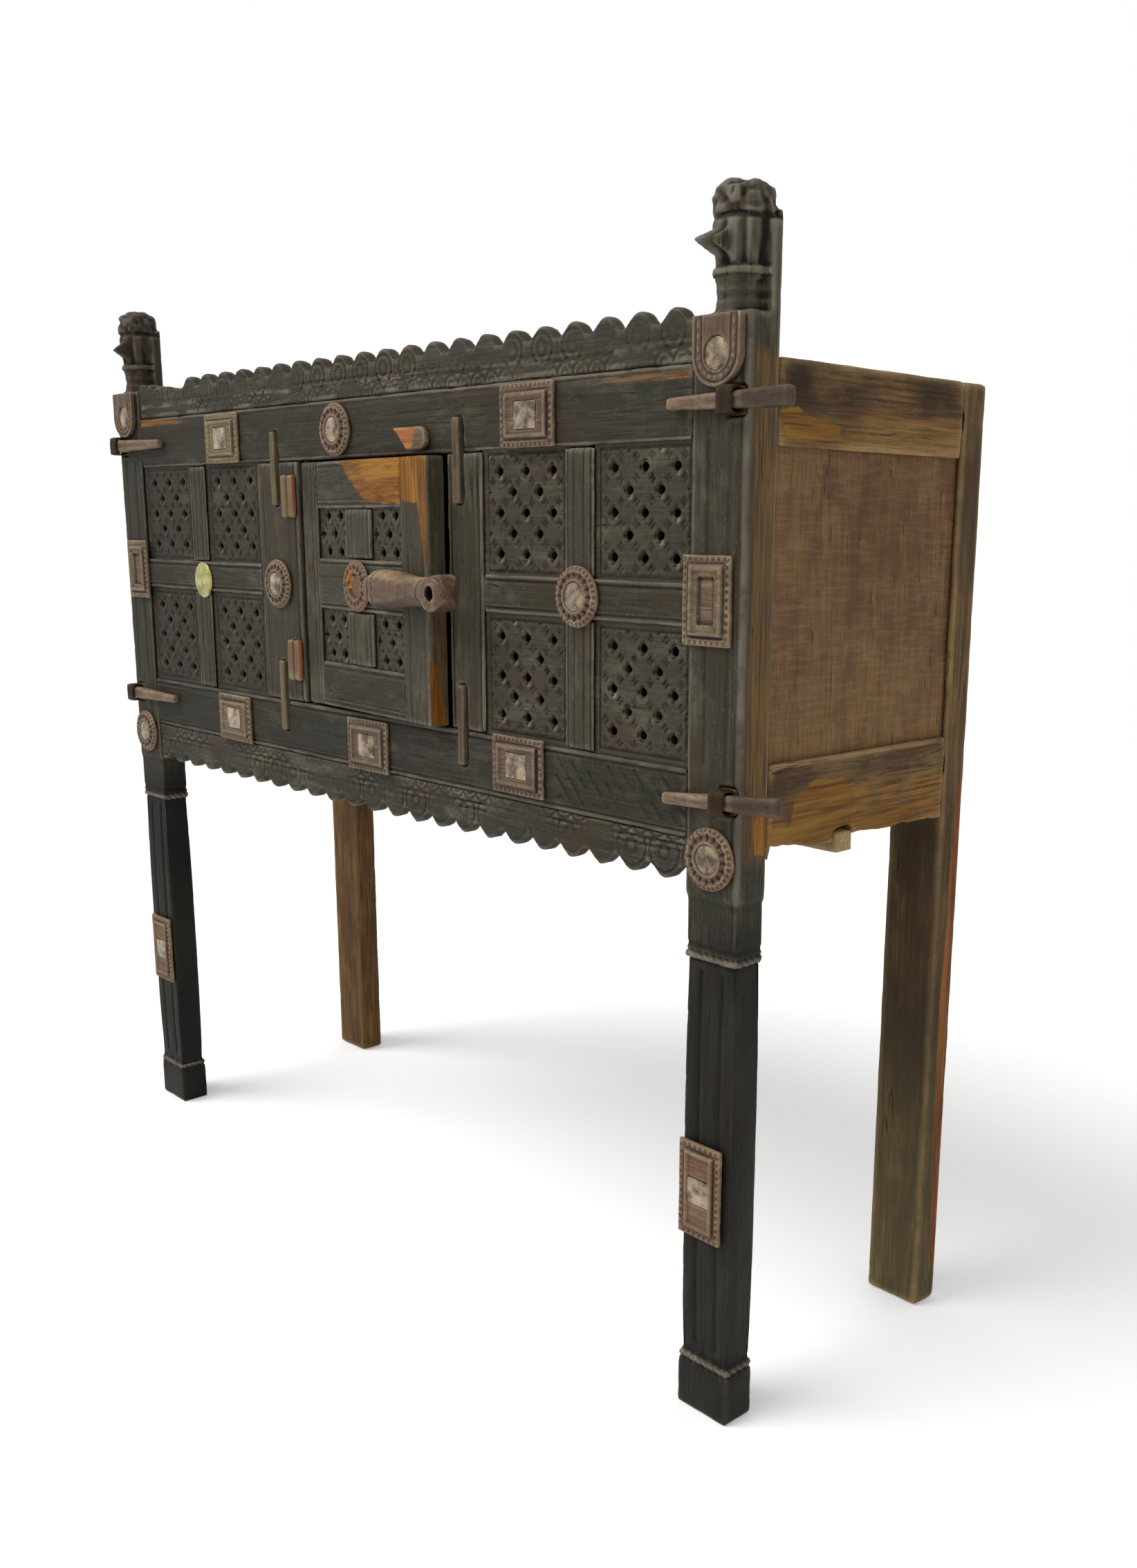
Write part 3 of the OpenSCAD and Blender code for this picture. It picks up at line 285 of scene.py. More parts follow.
def agedWood(name, look, along):
    # Old teak: fibres and splits run along the piece, dust sits on the high parts and painted highlights
    # take its pale colour, soot and painted shade sit in the low ones, and where a splinter has gone the
    # wood below is still orange.
    material, tree, place = blankFinish(name)
    shades = {key: paint(value) for key, value in look.items() if isinstance(value, str)}
    fields = {field: addNode(tree, "Attribute", out="Fac", attribute_name=field)
              for field in ("ridge", "valley", "tone", "fresh", "bare", "soot")}
    fine, cloudy = look["fibre"], look["cloud"]
    patterns = {   # a feature's size across and along the fibres, then detail, roughness and shift
        "fibre": (fine, fine * 26, 4.0, 0.55, 0.0), "streak": (fine * 5, fine * 90, 3.0, 0.55, 3.1),
        "patch": (cloudy * 1.6, cloudy * 3.5, 3.0, 0.55, 9.2),
        "cloud": (cloudy, cloudy * 2.2, 5.0, 0.62, 7.7), "speck": (3.2, 3.8, 2.0, 0.6, 1.3),
        "split": (11, 330, 2.0, 0.5, 5.9), "scratch": (34, 3.2, 3.0, 0.55, 4.4),
    }
    for field, (across, length, detail, rough, shift) in patterns.items():
        size = [1000 / across] * 3
        size["XYZ".index(along)] = 1000 / length
        mapped = addNode(tree, "Mapping", {"Vector": place, "Scale": size, "Location": [shift] * 3})
        fields[field] = addNode(tree, "TexNoise", {
            "Vector": mapped, "Scale": 1.0, "Detail": detail, "Roughness": rough})

    def masked(share, *masks):
        # a share of the masks' product, each a field and the values that it runs between
        for field, *ends in masks:
            mask = addNode(tree, "MapRange", between(fields[field], *ends))
            share = addNode(tree, "Math", {0: mask, 1: share}, operation="MULTIPLY", use_clamp=True)
        return share

    def layered(start, *layers):
        # lays each shade over the ones before it by its share and masks
        colour = shades[start]
        for shade, share, *masks in layers:
            colour = addNode(tree, "Mix", {0: masked(share, *masks), 6: colour, 7: shades[shade]}, 2,
                             data_type="RGBA")
        return colour

    offLine = addNode(tree, "Math", {0: fields["split"], 1: 0.5}, operation="SUBTRACT")
    fields["crack"] = addNode(tree, "Math", {0: offLine}, operation="ABSOLUTE")
    crack = ("crack", 0.0, 0.012, 1.0, 0.0), ("cloud", 0.52, 0.6)
    fields["bared"] = fields["fresh"]
    for field, share in (("streak", 0.3), ("speck", 0.12)):
        fields["bared"] = addNode(tree, "Math", {0: fields["bared"], 1: masked(share, (field, 0.3, 0.7))},
                                  operation="ADD", use_clamp=True)
    shades["open"] = layered("bareDark", ("bareLight", 1.0, ("fibre", 0.38, 0.62)))
    shades["inside"] = layered("freshDark", ("fresh", 1.0, ("fibre", 0.35, 0.62)),
                               ("freshGold", 0.7, ("streak", 0.5, 0.62)))
    hatching = (("dust", look["hatched"], ("scratch", 0.5, 0.62)),
                ("dark", look["hatched"], ("scratch", 0.46, 0.36))) if "hatched" in look else ()
    colour = layered(
        "dark", ("base", 1.0, ("fibre", 0.36, 0.66)), ("second", look["streaky"], ("streak", 0.46, 0.62)),
        ("dust", look["dusty"], ("cloud", 0.5, 0.72)), ("dust", 0.35, ("speck", 0.6, 0.72)),
        ("patch", look["patchy"], ("patch", 0.48, 0.62)), *hatching, ("toneTo", 0.5, ("tone",)),
        ("open", 1.0, ("bare",), ("cloud", 0.35, 0.6, 0.55, 1.0)),
        ("high", look["worn"], ("ridge", 0.12, 0.75), ("cloud", 0.3, 0.62, 0.35, 1.0)),
        # soot and painted shade in the hollows, soot and painted shade where a rule asks, then dark
        # cracks
        ("low", look["hollowSootAndPaintedShade"], ("valley", 0.08, 0.6)), ("low", 1.0, ("soot",)), ("low", 0.8, *crack),
        ("inside", 1.0, ("bared", 0.7, 0.76)))
    height = masked(0.6, ("fibre",))
    for operation, share in (("ADD", masked(0.3, ("cloud",))), ("SUBTRACT", masked(0.5, *crack))):
        height = addNode(tree, "Math", {0: height, 1: share}, operation=operation)
    relief = addNode(tree, "Bump", {"Height": height, "Strength": look["relief"], "Distance": 0.0018})
    wood = addNode(tree, "BsdfPrincipled", {
        "Base Color": colour, "Normal": relief, "IOR": 1.5, "Specular IOR Level": look["gloss"],
        "Roughness": masked(1.0, ("cloud", 0.3, 0.7, *look["rough"]))})
    addNode(tree, "OutputMaterial", {"Surface": wood})
    return material


carvedTeak = {   # the front, blackened by smoke, oil and dust
    "dark": "#1f1d16", "base": "#3f3b30", "second": "#26281d", "dust": "#6a6352", "toneTo": "#5c5547",
    "patch": "#33281c", "patchy": 0.7, "bareDark": "#4c3922", "bareLight": "#765a33",
    "high": "#81786a", "low": "#0e0c09", "fresh": "#7f521f", "freshDark": "#5a3713",
    "freshGold": "#a1702a", "fibre": 2.3, "cloud": 30, "streaky": 0.85, "dusty": 0.6, "worn": 0.8,
    "hollowSootAndPaintedShade": 0.95, "rough": (0.5, 0.75), "gloss": 0.14, "relief": 0.8,
}
bareTeak = {     # the ends and the legs behind, never oiled
    "dark": "#3f2b17", "base": "#7a5c38", "second": "#4c3722", "dust": "#957d52", "toneTo": "#33302a",
    "patch": "#3f2a1c", "patchy": 0.8, "bareDark": "#5c3d1c", "bareLight": "#8a622e",
    "high": "#a58a60", "low": "#1b130b", "fresh": "#7d5624", "freshDark": "#583a18",
    "freshGold": "#8f6c2e", "fibre": 2.6, "cloud": 42, "streaky": 0.8, "dusty": 0.65, "worn": 0.75,
    "hollowSootAndPaintedShade": 0.85, "rough": (0.6, 0.85), "gloss": 0.15, "relief": 0.8,
}
fittingTeak = {  # the plaques, bosses and keys, polished by hands on their edges
    "dark": "#392e25", "base": "#6c5a4a", "second": "#4d3f34", "dust": "#8b7862", "toneTo": "#76533a",
    "patch": "#513b30", "patchy": 0.6, "bareDark": "#6f6a45", "bareLight": "#8d8455",
    "high": "#a59276", "low": "#17110c", "fresh": "#a0673a", "freshDark": "#85502e",
    "freshGold": "#ab7c44", "fibre": 1.8, "cloud": 13, "streaky": 0.6, "dusty": 0.6, "worn": 0.85,
    "hollowSootAndPaintedShade": 0.95, "rough": (0.5, 0.7), "gloss": 0.18, "relief": 0.7,
}
boltTeak = dict(   # the bolt, greased and handled most
    fittingTeak, dark="#392c22", base="#665241", second="#4c3a2c", dust="#93795b", toneTo="#6c523e",
    high="#a88f6e", low="#1d1510", cloud=20, rough=(0.42, 0.62), gloss=0.22)
panelTeak = dict(  # the end panels, sawn fine and scratched across
    bareTeak, dark="#624930", base="#7c5f3e", second="#684c32", dust="#917653", patch="#5c4130",
    bareDark="#6a4f2f", bareLight="#8a6c42", toneTo="#452c1c", patchy=0.7, streaky=0.3,
    dusty=0.5, fibre=1.6, cloud=17, hatched=0.24, relief=0.9)
mossyTeak = dict(bareTeak, toneTo="#4b4a33", fresh="#7c4922", freshDark="#523118", freshGold="#8e5f2b")
boardTeak = dict(bareTeak, dark="#3f2e1e", base="#6b5138", second="#4b3825", dust="#7f6a4b",
                 patch="#493424", patchy=0.45, streaky=0.6, dusty=0.4, cloud=34)
paleTeak = dict(bareTeak, dark="#86704a", base="#ab9366", second="#937a50", dust="#b9a77d", patchy=0.3)

carvedAcross = agedWood("carved teak, grain X", carvedTeak, "X")
carvedUp = agedWood("carved teak, grain Z", carvedTeak, "Z")
bareBack = agedWood("bare teak, grain Y", bareTeak, "Y")
bareUp = agedWood("bare teak, grain Z", bareTeak, "Z")
mossyUp = agedWood("mossy teak, grain Z", mossyTeak, "Z")
panelUp = agedWood("end panel teak, grain Z", panelTeak, "Z")
boardAcross = agedWood("board teak, grain X", boardTeak, "X")
paleAcross = agedWood("pale teak, grain X", paleTeak, "X")
fittingAcross = agedWood("handled teak, grain X", fittingTeak, "X")
fittingUp = agedWood("handled teak, grain Z", fittingTeak, "Z")
boltWood = agedWood("bolt teak, grain X", boltTeak, "X")


def cloudedMirror(name, look):
    # Hand-cut glass silvered long ago: it still glints, but the silvering is brown, spotted and hazy.
    material, tree, place = blankFinish(name)
    haze = addNode(tree, "TexNoise", {
        "Vector": place, "Scale": 1000 / 14, "Detail": 4.0, "Roughness": 0.65})
    specks = addNode(tree, "TexNoise", {"Vector": place, "Scale": 1000 / 3.5, "Detail": 2.0})
    colour = paint(look["stained"])
    # the clear patches' pale colour is partly a painted reflection, the stains and spots are the
    # silvering's own
    for shade, *run in (("clear", haze, 0.38, 0.62), ("spot", specks, 0.6, 0.68, 0.0, 0.7)):
        share = addNode(tree, "MapRange", between(*run))
        colour = addNode(tree, "Mix", {0: share, 6: colour, 7: paint(look[shade])}, 2, data_type="RGBA")
    glass = addNode(tree, "BsdfPrincipled", {
        "Base Color": colour, "Metallic": look["silver"], "Coat Weight": 0.5, "Coat Roughness": 0.12,
        "Roughness": addNode(tree, "MapRange", between(haze, 0.35, 0.65, 0.5, 0.22)),
        "Normal": addNode(tree, "Bump", {"Height": haze, "Strength": 0.3, "Distance": 0.0006})})
    addNode(tree, "OutputMaterial", {"Surface": glass})
    return material


# the clear colours are pale partly as a painted reflection
oldMirror = cloudedMirror("clouded mirror glass", {
    "clear": "#a89473", "stained": "#3c2f1c", "spot": "#261e16", "silver": 0.35})
bareMirror = cloudedMirror("yellowed mirror glass", {
    "clear": "#b3ac5c", "stained": "#6c6a1e", "spot": "#4d4a22", "silver": 0.3})


def rustedIron(name):
    # Hand-forged nails, brown with even rust and dull all over.
    material, tree, place = blankFinish(name)
    rust = addNode(tree, "TexNoise", {"Vector": place, "Scale": 1000 / 2.5, "Detail": 4.0})
    colour = addNode(tree, "Mix", {0: rust, 6: paint("#2b2420"), 7: paint("#5a3a26")}, 2,
                     data_type="RGBA")
    iron = addNode(tree, "BsdfPrincipled", {"Base Color": colour, "Metallic": 0.5, "Roughness": 0.75})
    addNode(tree, "OutputMaterial", {"Surface": iron})
    return material


nailIron = rustedIron("rusted iron")
print("finishes ready")


# Rules for a surface's points: carving gives a depth in millimetres, a finish its share from 0 to 1

def line(value, middle, width):
    # 1 along the middle of a groove of this width, 0 outside it
    return np.clip(1 - (2 * (value - middle) / width) ** 2, 0, 1)


def wave(value, pitch):
    return 0.5 + 0.5 * np.sin(2 * np.pi * value / pitch)


def onFace(at, behind=3.0):
    # 1 on faces that look to the front and don't lie deeper than this
    return np.clip((-at.ny - 0.45) * 3, 0, 1) * (at.y < behind)


def fromNearest(value, first, pitch):
    # how far a value lies from the nearest of a row of places
    return (value - first + pitch / 2) % pitch - pitch / 2


def scallopLift(x, lift):
    return lift * ramp(x, 0, chest["postInner"])


def scallopEdge(board):
    # the drawn arcs have worn to a wave, so points move towards the rail only
    tip, way, radius, keep = (board[key] for key in ("tip", "way", "radius", "keep"))

    def shape(points):
        x = points[:, 0]
        z = points[:, 2] - scallopLift(x, board["lift"])
        u = fromNearest(x, board["first"], chest["scallopPitch"])
        arc = np.sqrt(np.maximum(radius ** 2 - u ** 2, 0))
        dip = np.sin(np.pi * u / chest["scallopPitch"]) ** 2
        worn = radius - board["drop"] * dip - 1.2 * valueNoise(points, 12, 79)
        reach = way * (z - tip) + radius + keep
        shrink = np.minimum((worn + keep) / (arc + keep) - 1, 0)
        points[:, 2] += way * np.where(reach > 0, reach * shrink, 0)
        return points
    return shape


def scallopCarving(board):
    # a faint arc in each scallop, a beaded line below them and a row of half scales along the rail
    first, tip, way, rail, arc = (board[key] for key in ("first", "tip", "way", "rail", "arc"))
    half = chest["scallopPitch"] / 2

    def carve(at):
        z = at.z - scallopLift(at.x, board["lift"])
        reach = np.hypot(fromNearest(at.x, first, 2 * half), z - (tip - way * arc))
        above = way * (z - rail) > 15
        depth = above * (1.2 * line(reach, arc - 8, 4) + 0.8 * line(reach, 7, 6))
        scale = np.hypot(fromNearest(at.x, first + half / 2, half), z - (rail + way * 1))
        depth += ~above * (1.3 * line(scale, 11, 4) + 0.9 * line(scale, 5, 4))
        depth += 1.8 * line(z, rail + way * 15, 4) + 1.2 * line(z, rail + way * 22, 3)
        return depth * spots(at, 26, 71, 2.1, 0.4, 0.15, 1.05, [0.5, 1, 1]) * onFace(at, 5)
    return carve


def railCarving(low, high, leafFrom=None):
    # a line along each edge, and slanting leaves or one more line between them
    def carve(at):
        x, z = at.x, at.z
        depth = 1.5 * line(z, low + 6, 4) + 1.5 * line(z, high - 6, 4) + 0.7 * line(z, low + 11, 3)
        if leafFrom is None:
            depth += 0.6 * line(z, high - 22, 3) * (valueNoise(at.points, 60, 5) > 0.45)
        else:
            slant = fromNearest(x + (z - low) * 0.9, 9.5, 19)
            leaf = (1.5 * line(slant, 0, 6) + 0.8 * line(slant, 7, 3)) * spots(at, 12, 81, 2.4, 0.5)
            depth += leaf * ramp(x, leafFrom, leafFrom + 30) * ((z > low + 13) & (z < high - 9))
        return depth * onFace(at)
    return carve


def uprightCarving(*lines):
    # vertical grooves given as (x, width, depth)
    def carve(at):
        depth = sum(d * line(at.x, x, w) for x, w, d in lines)
        return depth * onFace(at, 4)
    return carve


def edgeDust(*levels):
    # dust lies in dashes along the edges at these heights
    def glint(at):
        dashes = spots(at, 11, 66, 3, 1.1, stretch=[0.45, 1, 1])
        return dashes * sum(line(at.z, z, 7) for z in levels)
    return glint


def holeGrid(at, columns, rows, pitch):
    # where each point lies from its nearest hole, and in which part of the field
    x, z = at.x, at.z
    dx, dz, border = (np.full(len(x), 99.0) for _ in range(3))
    for left, right in columns:
        for low, high in rows:
            u, w = (x - (left + right) / 2) / pitch[0], (z - (low + high) / 2) / pitch[1]
            a, b = (u + w) / 2, (u - w) / 2
            da, db = a - np.round(a), b - np.round(b)
            inside = (x > left) & (x < right) & (z > low) & (z < high)
            dx = np.where(inside, (da + db) * pitch[0], dx)
            dz = np.where(inside, (da - db) * pitch[1], dz)
            border = np.where(inside, np.maximum(np.abs(u), np.abs(w)), border)
    return dx, dz, border


def fieldGrid(sizes, inner, muntin):
    # the four pierced fields between the sides, the muntin and the rails, and the pitch of their holes
    low, middle, high = (sizes[rail] for rail in ("bottomRail", "midRail", "topRail"))
    return ([(inner[0], muntin[0]), (muntin[1], inner[1])], [(low[1], middle[0]), (middle[1], high[0])],
            sizes["pitch"])


def grilleCarving(*grid):
    # four petals cut round each hole, fainter cuts between the holes and a line round the field
    def carve(at):
        dx, dz, border = holeGrid(at, *grid)
        reach, turn = np.hypot(dx, dz), np.arctan2(dz, dx)
        cut = 2.6 * np.clip(1.5 - 1.5 * (reach / (5.6 + 2.2 * np.cos(4 * turn))) ** 2, 0, 1)
        cut += 1.6 * line(reach, 13, 4) * np.clip(0.3 - np.cos(4 * turn), 0, 1)
        cut += 1.5 * spots(at, 8, 75, 2, 1.1)
        depth = cut * (border < 2.75) + 1.4 * line(border, 2.85, 0.22)
        return depth * onFace(at, 18)
    return carve


def grilleGlint(*grid):
    # painted highlights on the lower lip of some holes
    def glint(at):
        dx, dz, border = holeGrid(at, *grid)
        near = np.clip(1.4 - np.hypot(dx - 3.2, dz + 6.2) / 2.6, 0, 1)
        chosen = valueNoise(at.points - np.stack([dx, dx * 0, dz], 1), 13, 77) > 0.52
        return near * chosen * (border < 2.75)
    return glint


def smoke(more=0.0):
    # the whole front is darker towards its left
    def soot(at):
        return more + np.interp(at.x, [-550, -200, 100, 550], [0.26, 0.17, 0.08, 0.08])
    return soot


def grilleSootAndCutShade(at):
    # painted shade in the deep cuts and holes, in patches, and the front's soot, darker towards its left
    cuts = ramp(at.y, 6.2, 8.2) * spots(at, 11, 73, 2.4, 0.3, 0.2, 1)
    return np.maximum(cuts * (at.ny < 0.5), 2.0 * smoke()(at) - 0.12)


def ropeTwist(at):
    return wave(at.x + at.y + at.z, 9)


def ropeBand(z, rope):
    # 1 in the middle of a rope ring, 0 just past its edges
    return line(z, sum(rope) / 2, rope[1] - rope[0] + 4)


# the finial's heights are shares of the way from the post's shoulder to its top
finial = {"height": 111, "turnedBack": 28.5, "core": 15, "flutes": 9, "vase": (0.24, 0.12),
          "rings": (0.262, 0.342), "petals": (0.35, 0.67), "neck": 0.695, "cap": 0.7, "capBack": 41}


def finialShare(z):
    return (z - chest["shoulder"]) / finial["height"]


def postCarving(side):
    # a leg that swells between its ropes, twisted ropes, and a fluted finial with a crumbled cap
    lower, upper = chest["ropes"]
    footTop, legTop = lower[1], upper[0]

    def carve(at):
        x, y, z = at.points.T
        out = side * x
        rise = ramp(z, footTop, legTop)
        depth = 2.6 * np.abs(rise * 2 - 1) ** 3 * ((z > footTop) & (z < legTop))
        for low, high in chest["ropes"]:
            within = (z > low - 1) & (z < high + 1)
            swell = np.abs((z - (low + high) / 2) / (high - low) * 2) ** 2
            depth += within * (1.3 * ropeTwist(at) + 1.2 * swell)
        depth += 1.4 * line(z, 50, 3) + 1.4 * line(z, 500, 4)
        rail = (z > 500) & (z < chest["topRail"][1])
        depth += onFace(at, 4) * rail * (0.9 * line(out, 550, 3) + 0.9 * line(out, 602, 3))
        share = finialShare(z)
        ahead, aside = y - chest["postDepth"], out - chest["postMid"]
        turn, reach = np.arctan2(ahead, aside), np.hypot(ahead, aside)
        turned = (share > 0.01) & (y < finial["turnedBack"]) & (reach > finial["core"])
        flute = 0.5 + 0.5 * np.cos(finial["flutes"] * turn + 1)
        (vaseTop, vaseMid), (petalsLow, petalsHigh) = finial["vase"], finial["petals"]
        depth += turned * (share > petalsLow) * (share < petalsHigh) * 2.8 * flute ** 2
        depth += turned * (share < vaseTop) * (1.2 * line(share, vaseMid, 0.08) + 0.6 * flute)
        for ring in finial["rings"]:
            depth += turned * 1.4 * line(share, ring, 0.024)
        depth += (y < finial["capBack"]) * 2.4 * line(share, finial["neck"], 0.04)
        cap = (share > finial["cap"]) & (y < finial["capBack"])
        crumbs = valueNoise(at.points, 13, 31) * 0.75 + valueNoise(at.points, 5, 32) * 0.45
        depth += cap * (6.0 * np.clip(crumbs * 1.7 - 0.6, 0, 1) + 1.2 * flute * (reach > 18) * (y < 28))
        return depth
    return carve


def bluntLobe(points):
    # the lobe at the left finial has lost its tip
    loose = (points[:, 2] > 1077) & (points[:, 1] < -3)
    points[:, 1] = np.where(loose, -3 + (points[:, 1] + 3) * 0.6, points[:, 1])
    return points


def postTone(at):
    return np.where(at.z > chest["shoulder"], 0.6, 0.15)


def finialGlint(at):
    # light caught by the ropes, the ring, the petals and the cap
    share = finialShare(at.z)
    lit = 0.7 * line(share, 0.3, 0.05) + 0.5 * (share > 0.36) * (share < 0.67)
    lit += 0.6 * (share > 0.72) * spots(at, 9, 91, 2.5, 0.8)
    lit *= spots(at, 14, 93, 2.2, 0.5)
    strands = np.clip(1.2 - 1.6 * ropeTwist(at), 0, 1) * spots(at, 16, 94, 2.4, 0.4)
    lower, upper = (ropeBand(at.z, rope) for rope in chest["ropes"])
    lit += 1.2 * (upper + 0.7 * lower) * strands
    return lit * (at.ny < -0.2) * ((at.nx < 0.6) | (share < 0))


def postSide(at):
    # the side face beside the end panel was never blackened
    side = ramp(np.abs(at.nx), 0.4, 0.9) * ramp(at.y, 5, 11)
    side *= ramp(at.z, 578, 593) * ramp(at.z, 1050, 1036)
    return 0.95 * side + 0.2 * (at.z > chest["shoulder"]) * (at.x < 0)


def legSootAndFinialShade(at):
    # the legs are sooty, most at the left, but for their ropes; the finial's groove and its back get
    # painted shade
    leg = ramp(at.z, 560, 500) * (0.38 + 0.5 * valueNoise(at.points * [1, 1, 0.3], 40, 8))
    leg += (at.x < 0) * np.where(at.z < chest["shoulder"], 0.25, 0.35)
    leg *= 1 - sum(ropeBand(at.z, rope) for rope in chest["ropes"])
    return np.maximum(leg, (at.z > 1100) * np.maximum(0.9 * line(at.z, 1152, 5), 0.5 * (at.ny > 0.5)))


def keyBare(at):
    # greyed green, most at the left
    return np.where(at.x < 0, 0.5, 0.1)


def plaqueBare(at):
    # the plaque at the top left has greyed, the one below it a little
    return (at.x < -200) * np.where(at.z > 800, 0.45, 0.15)


def shieldCarving(at):
    # nested arcs round the mirror, with a beaded rim
    x, z = np.abs(at.x) - chest["postMid"], at.z - chest["shieldMid"]
    reach = np.where(z < 0, np.hypot(x, z), np.abs(x))
    turn = np.where(z < 0, np.arctan2(z, x) * 9, z / 3.2)
    depth = 1.1 * line(reach, 24, 3) + 1.1 * line(reach, 17.5, 3)
    depth += 0.5 * line(reach, 21, 4) * (np.cos(turn * 2) > 0)
    return depth * onFace(at, 0)


bolt = {"left": 73, "knob": (231, -16.5), "knobRadius": 15.5, "eye": (227, 822), "eyeRadius": 8.2,
        "size": 1.5}


def boltCarving(at):
    # a neck and a bulb at the left, a slight waist and the knob round the eye
    along = at.x - bolt["left"]
    depth = 3.0 * ramp(along, 24, 0) + 1.4 * line(along, 22, 6) + 0.8 * line(along, 33, 4)
    depth += 2.0 * line(along, 108, 60) + 1.3 * line(along, 124, 6)
    return depth + 1.8 * spots(at, 15, 61, 2, 1.0)


def boltEnd(points):
    # the knob is round in plan too, and its corners are gone
    centre, radius = bolt["knob"], bolt["knobRadius"]
    offset = points[:, :2] - centre
    reach = np.hypot(*offset.T)
    loose = (offset[:, 0] > 0) & (reach > radius) & (points[:, 1] < 0)
    points[loose, :2] = centre + offset[loose] * (radius / reach[loose])[:, None]
    return points


def tenonSoot(at):
    return 0.88 * (at.y < 1)


def paintedBoltShade(at):
    # painted shade inside the eye, in the groove at the neck and on the undersides, where the bolt shades
    # itself
    x, z = bolt["eye"]
    inside = (np.hypot(at.x - x, at.z - z) < bolt["eyeRadius"]) * (np.abs(at.ny) < 0.8)
    under = 0.5 * np.clip(-at.nz * 1.5 - 0.5, 0, 1) + 0.6 * line(at.x, 95, 6)
    return np.maximum(inside, under)


def boltGlint(at):
    # a painted highlight, in patches, on the upward faces of the bolt and its knob
    top = np.clip(at.nz * 1.6 - 0.5, 0, 1) * 0.7
    return top * spots(at, 16, 97, 2.2, 0.4, stretch=[0.4, 1, 1])


def raggedRail(points):
    # the lower edge of the end's bottom rail has rotted back, most at its front
    y, z = points[:, 1], points[:, 2]
    edge = np.interp(y, [40, 60, 90, 135, 178, 205, 290, 342],
                     [597, 594, 591, 585, 591, 590, 588, 584.5])
    edge += 3.5 * valueNoise(np.stack([y * 0, y, y * 0], 1), 11, 12)
    sound, drawn = 616, 584   # the wood above is sound, and the drawn edge lies at this height
    share = (sound - edge) / (sound - drawn)
    points[:, 2] = np.where((z < sound) & (y > 44), sound - (sound - z) * share, z)
    return points


def railTan(at):
    # the lower half is bleached towards the back
    return np.minimum(ramp(at.y, 120, 180), 0.8) * ramp(at.z, 1006, 992)


def railStain(at):
    return np.maximum(tenonSoot(at), 0.65 * spots(at, 34, 83, 2.6, 1.1) * ramp(at.z, 985, 1005))


def rottenFoot(at):
    return ramp(at.z, 650, 634) * spots(at, 26, 85, 3, 0.7, 0.25, 1)


def dustLine(at):
    return 0.9 * (at.z > 673) * (at.y > 44) * spots(at, 18, 87, 2.5, 0.6)


def mossTone(at):
    return np.interp(at.z, [250, 480], [1.0, 0.4])


def legMoss(at):
    stain = 0.4 + 0.8 * valueNoise(at.points * [1, 1, 0.35], 30, 89)
    return np.interp(at.z, [150, 500, 560, 600], [0.12, 0.5, 0.5, 0]) * stain


def panelFoot(at):
    return 0.45 * ramp(at.z, 760, 670)


def panelShade(at):
    # a redder, darker cloud above the middle of the end panel
    cloud = np.exp(-((at.y - 200) / 90) ** 2 - ((at.z - 890) / 90) ** 2)
    return cloud * (0.5 + 0.5 * valueNoise(at.points, 24, 98))


def sawMarks(at):
    # two faint rows of marks that cross on the end panels
    return 0.35 * wave(at.y, 7.5) + 0.25 * wave(at.z, 9)


# Bared wood, each rule giving how far in millimetres a point lies inside a patch

def insideShape(u, v, corners):
    # signed distance to a convex shape whose corners run clockwise as seen from the front
    reach = np.full(len(u), 1e3)
    for (ax, az), (bx, bz) in zip(corners, corners[1:] + corners[:1]):
        length = math.hypot(bx - ax, bz - az)
        reach = np.minimum(reach, ((bz - az) * (u - ax) - (bx - ax) * (v - az)) / length)
    return reach


def patches(*shapes, axes="xz"):
    def fresh(at):
        u, v = (getattr(at, axis) for axis in axes)
        return np.max([insideShape(u, v, shape) for shape in shapes], axis=0)
    return fresh


splitStrips = patches([(413, 1026), (430, 1031), (541, 1033), (541, 1022), (450, 1023)],
                      [(-541, 1024), (-541, 1035), (-410, 1033), (-388, 1029), (-430, 1024)])


def splitBare(at):
    return np.maximum(ramp(splitStrips(at), 0, 1.5), unsmoked(at))


def splitCore(at):
    return splitStrips(at) - 1.0 - 0.9 * (at.x > 0)


def splitDust(at):
    return 0.2 * ramp(splitStrips(at), 0, 1.5) + edgeDust(1033, 970)(at)


def onPart(test, fresh):
    # bared wood on the part of a piece that passes the test
    return lambda at: np.where(test(at), fresh(at), -99)


doorHead = [(-28, 969), (181, 969), (181, 917), (40, 917)]
lockStrip = [(150, 969), (179, 969), (179, 850), (166, 850), (157, 916)]
doorSlant = onPart(lambda at: at.y < 9, patches(doorHead))
lockHead = onPart(lambda at: at.y < 9, patches(doorHead, lockStrip))
lockFoot = patches([(-2, 800), (7, 800), (15, 735), (40, 706), (40, 668), (-2, 668)], axes="yz")
postFresh = onPart(lambda at: (at.nx > 0.6) & (at.x > 0),
                   patches([(24, 594), (20, 618), (31, 646), (46, 652), (48, 590)], axes="yz"))


def lockFresh(at):
    return np.where(at.nx > 0.6, lockFoot(at), lockHead(at))


def lockBare(at):
    edge = 0.8 * (at.nx > 0.6) * np.clip((830 - at.z) / 30, 0.15, 0.8)
    return np.maximum(edge, unsmoked(at))


def doorDust(at):
    # dust on the upper edge of the door's bottom rail
    return 1.2 * (at.z > 724) * (valueNoise(at.points, 22, 95) > 0.5)


print("carving rules ready")

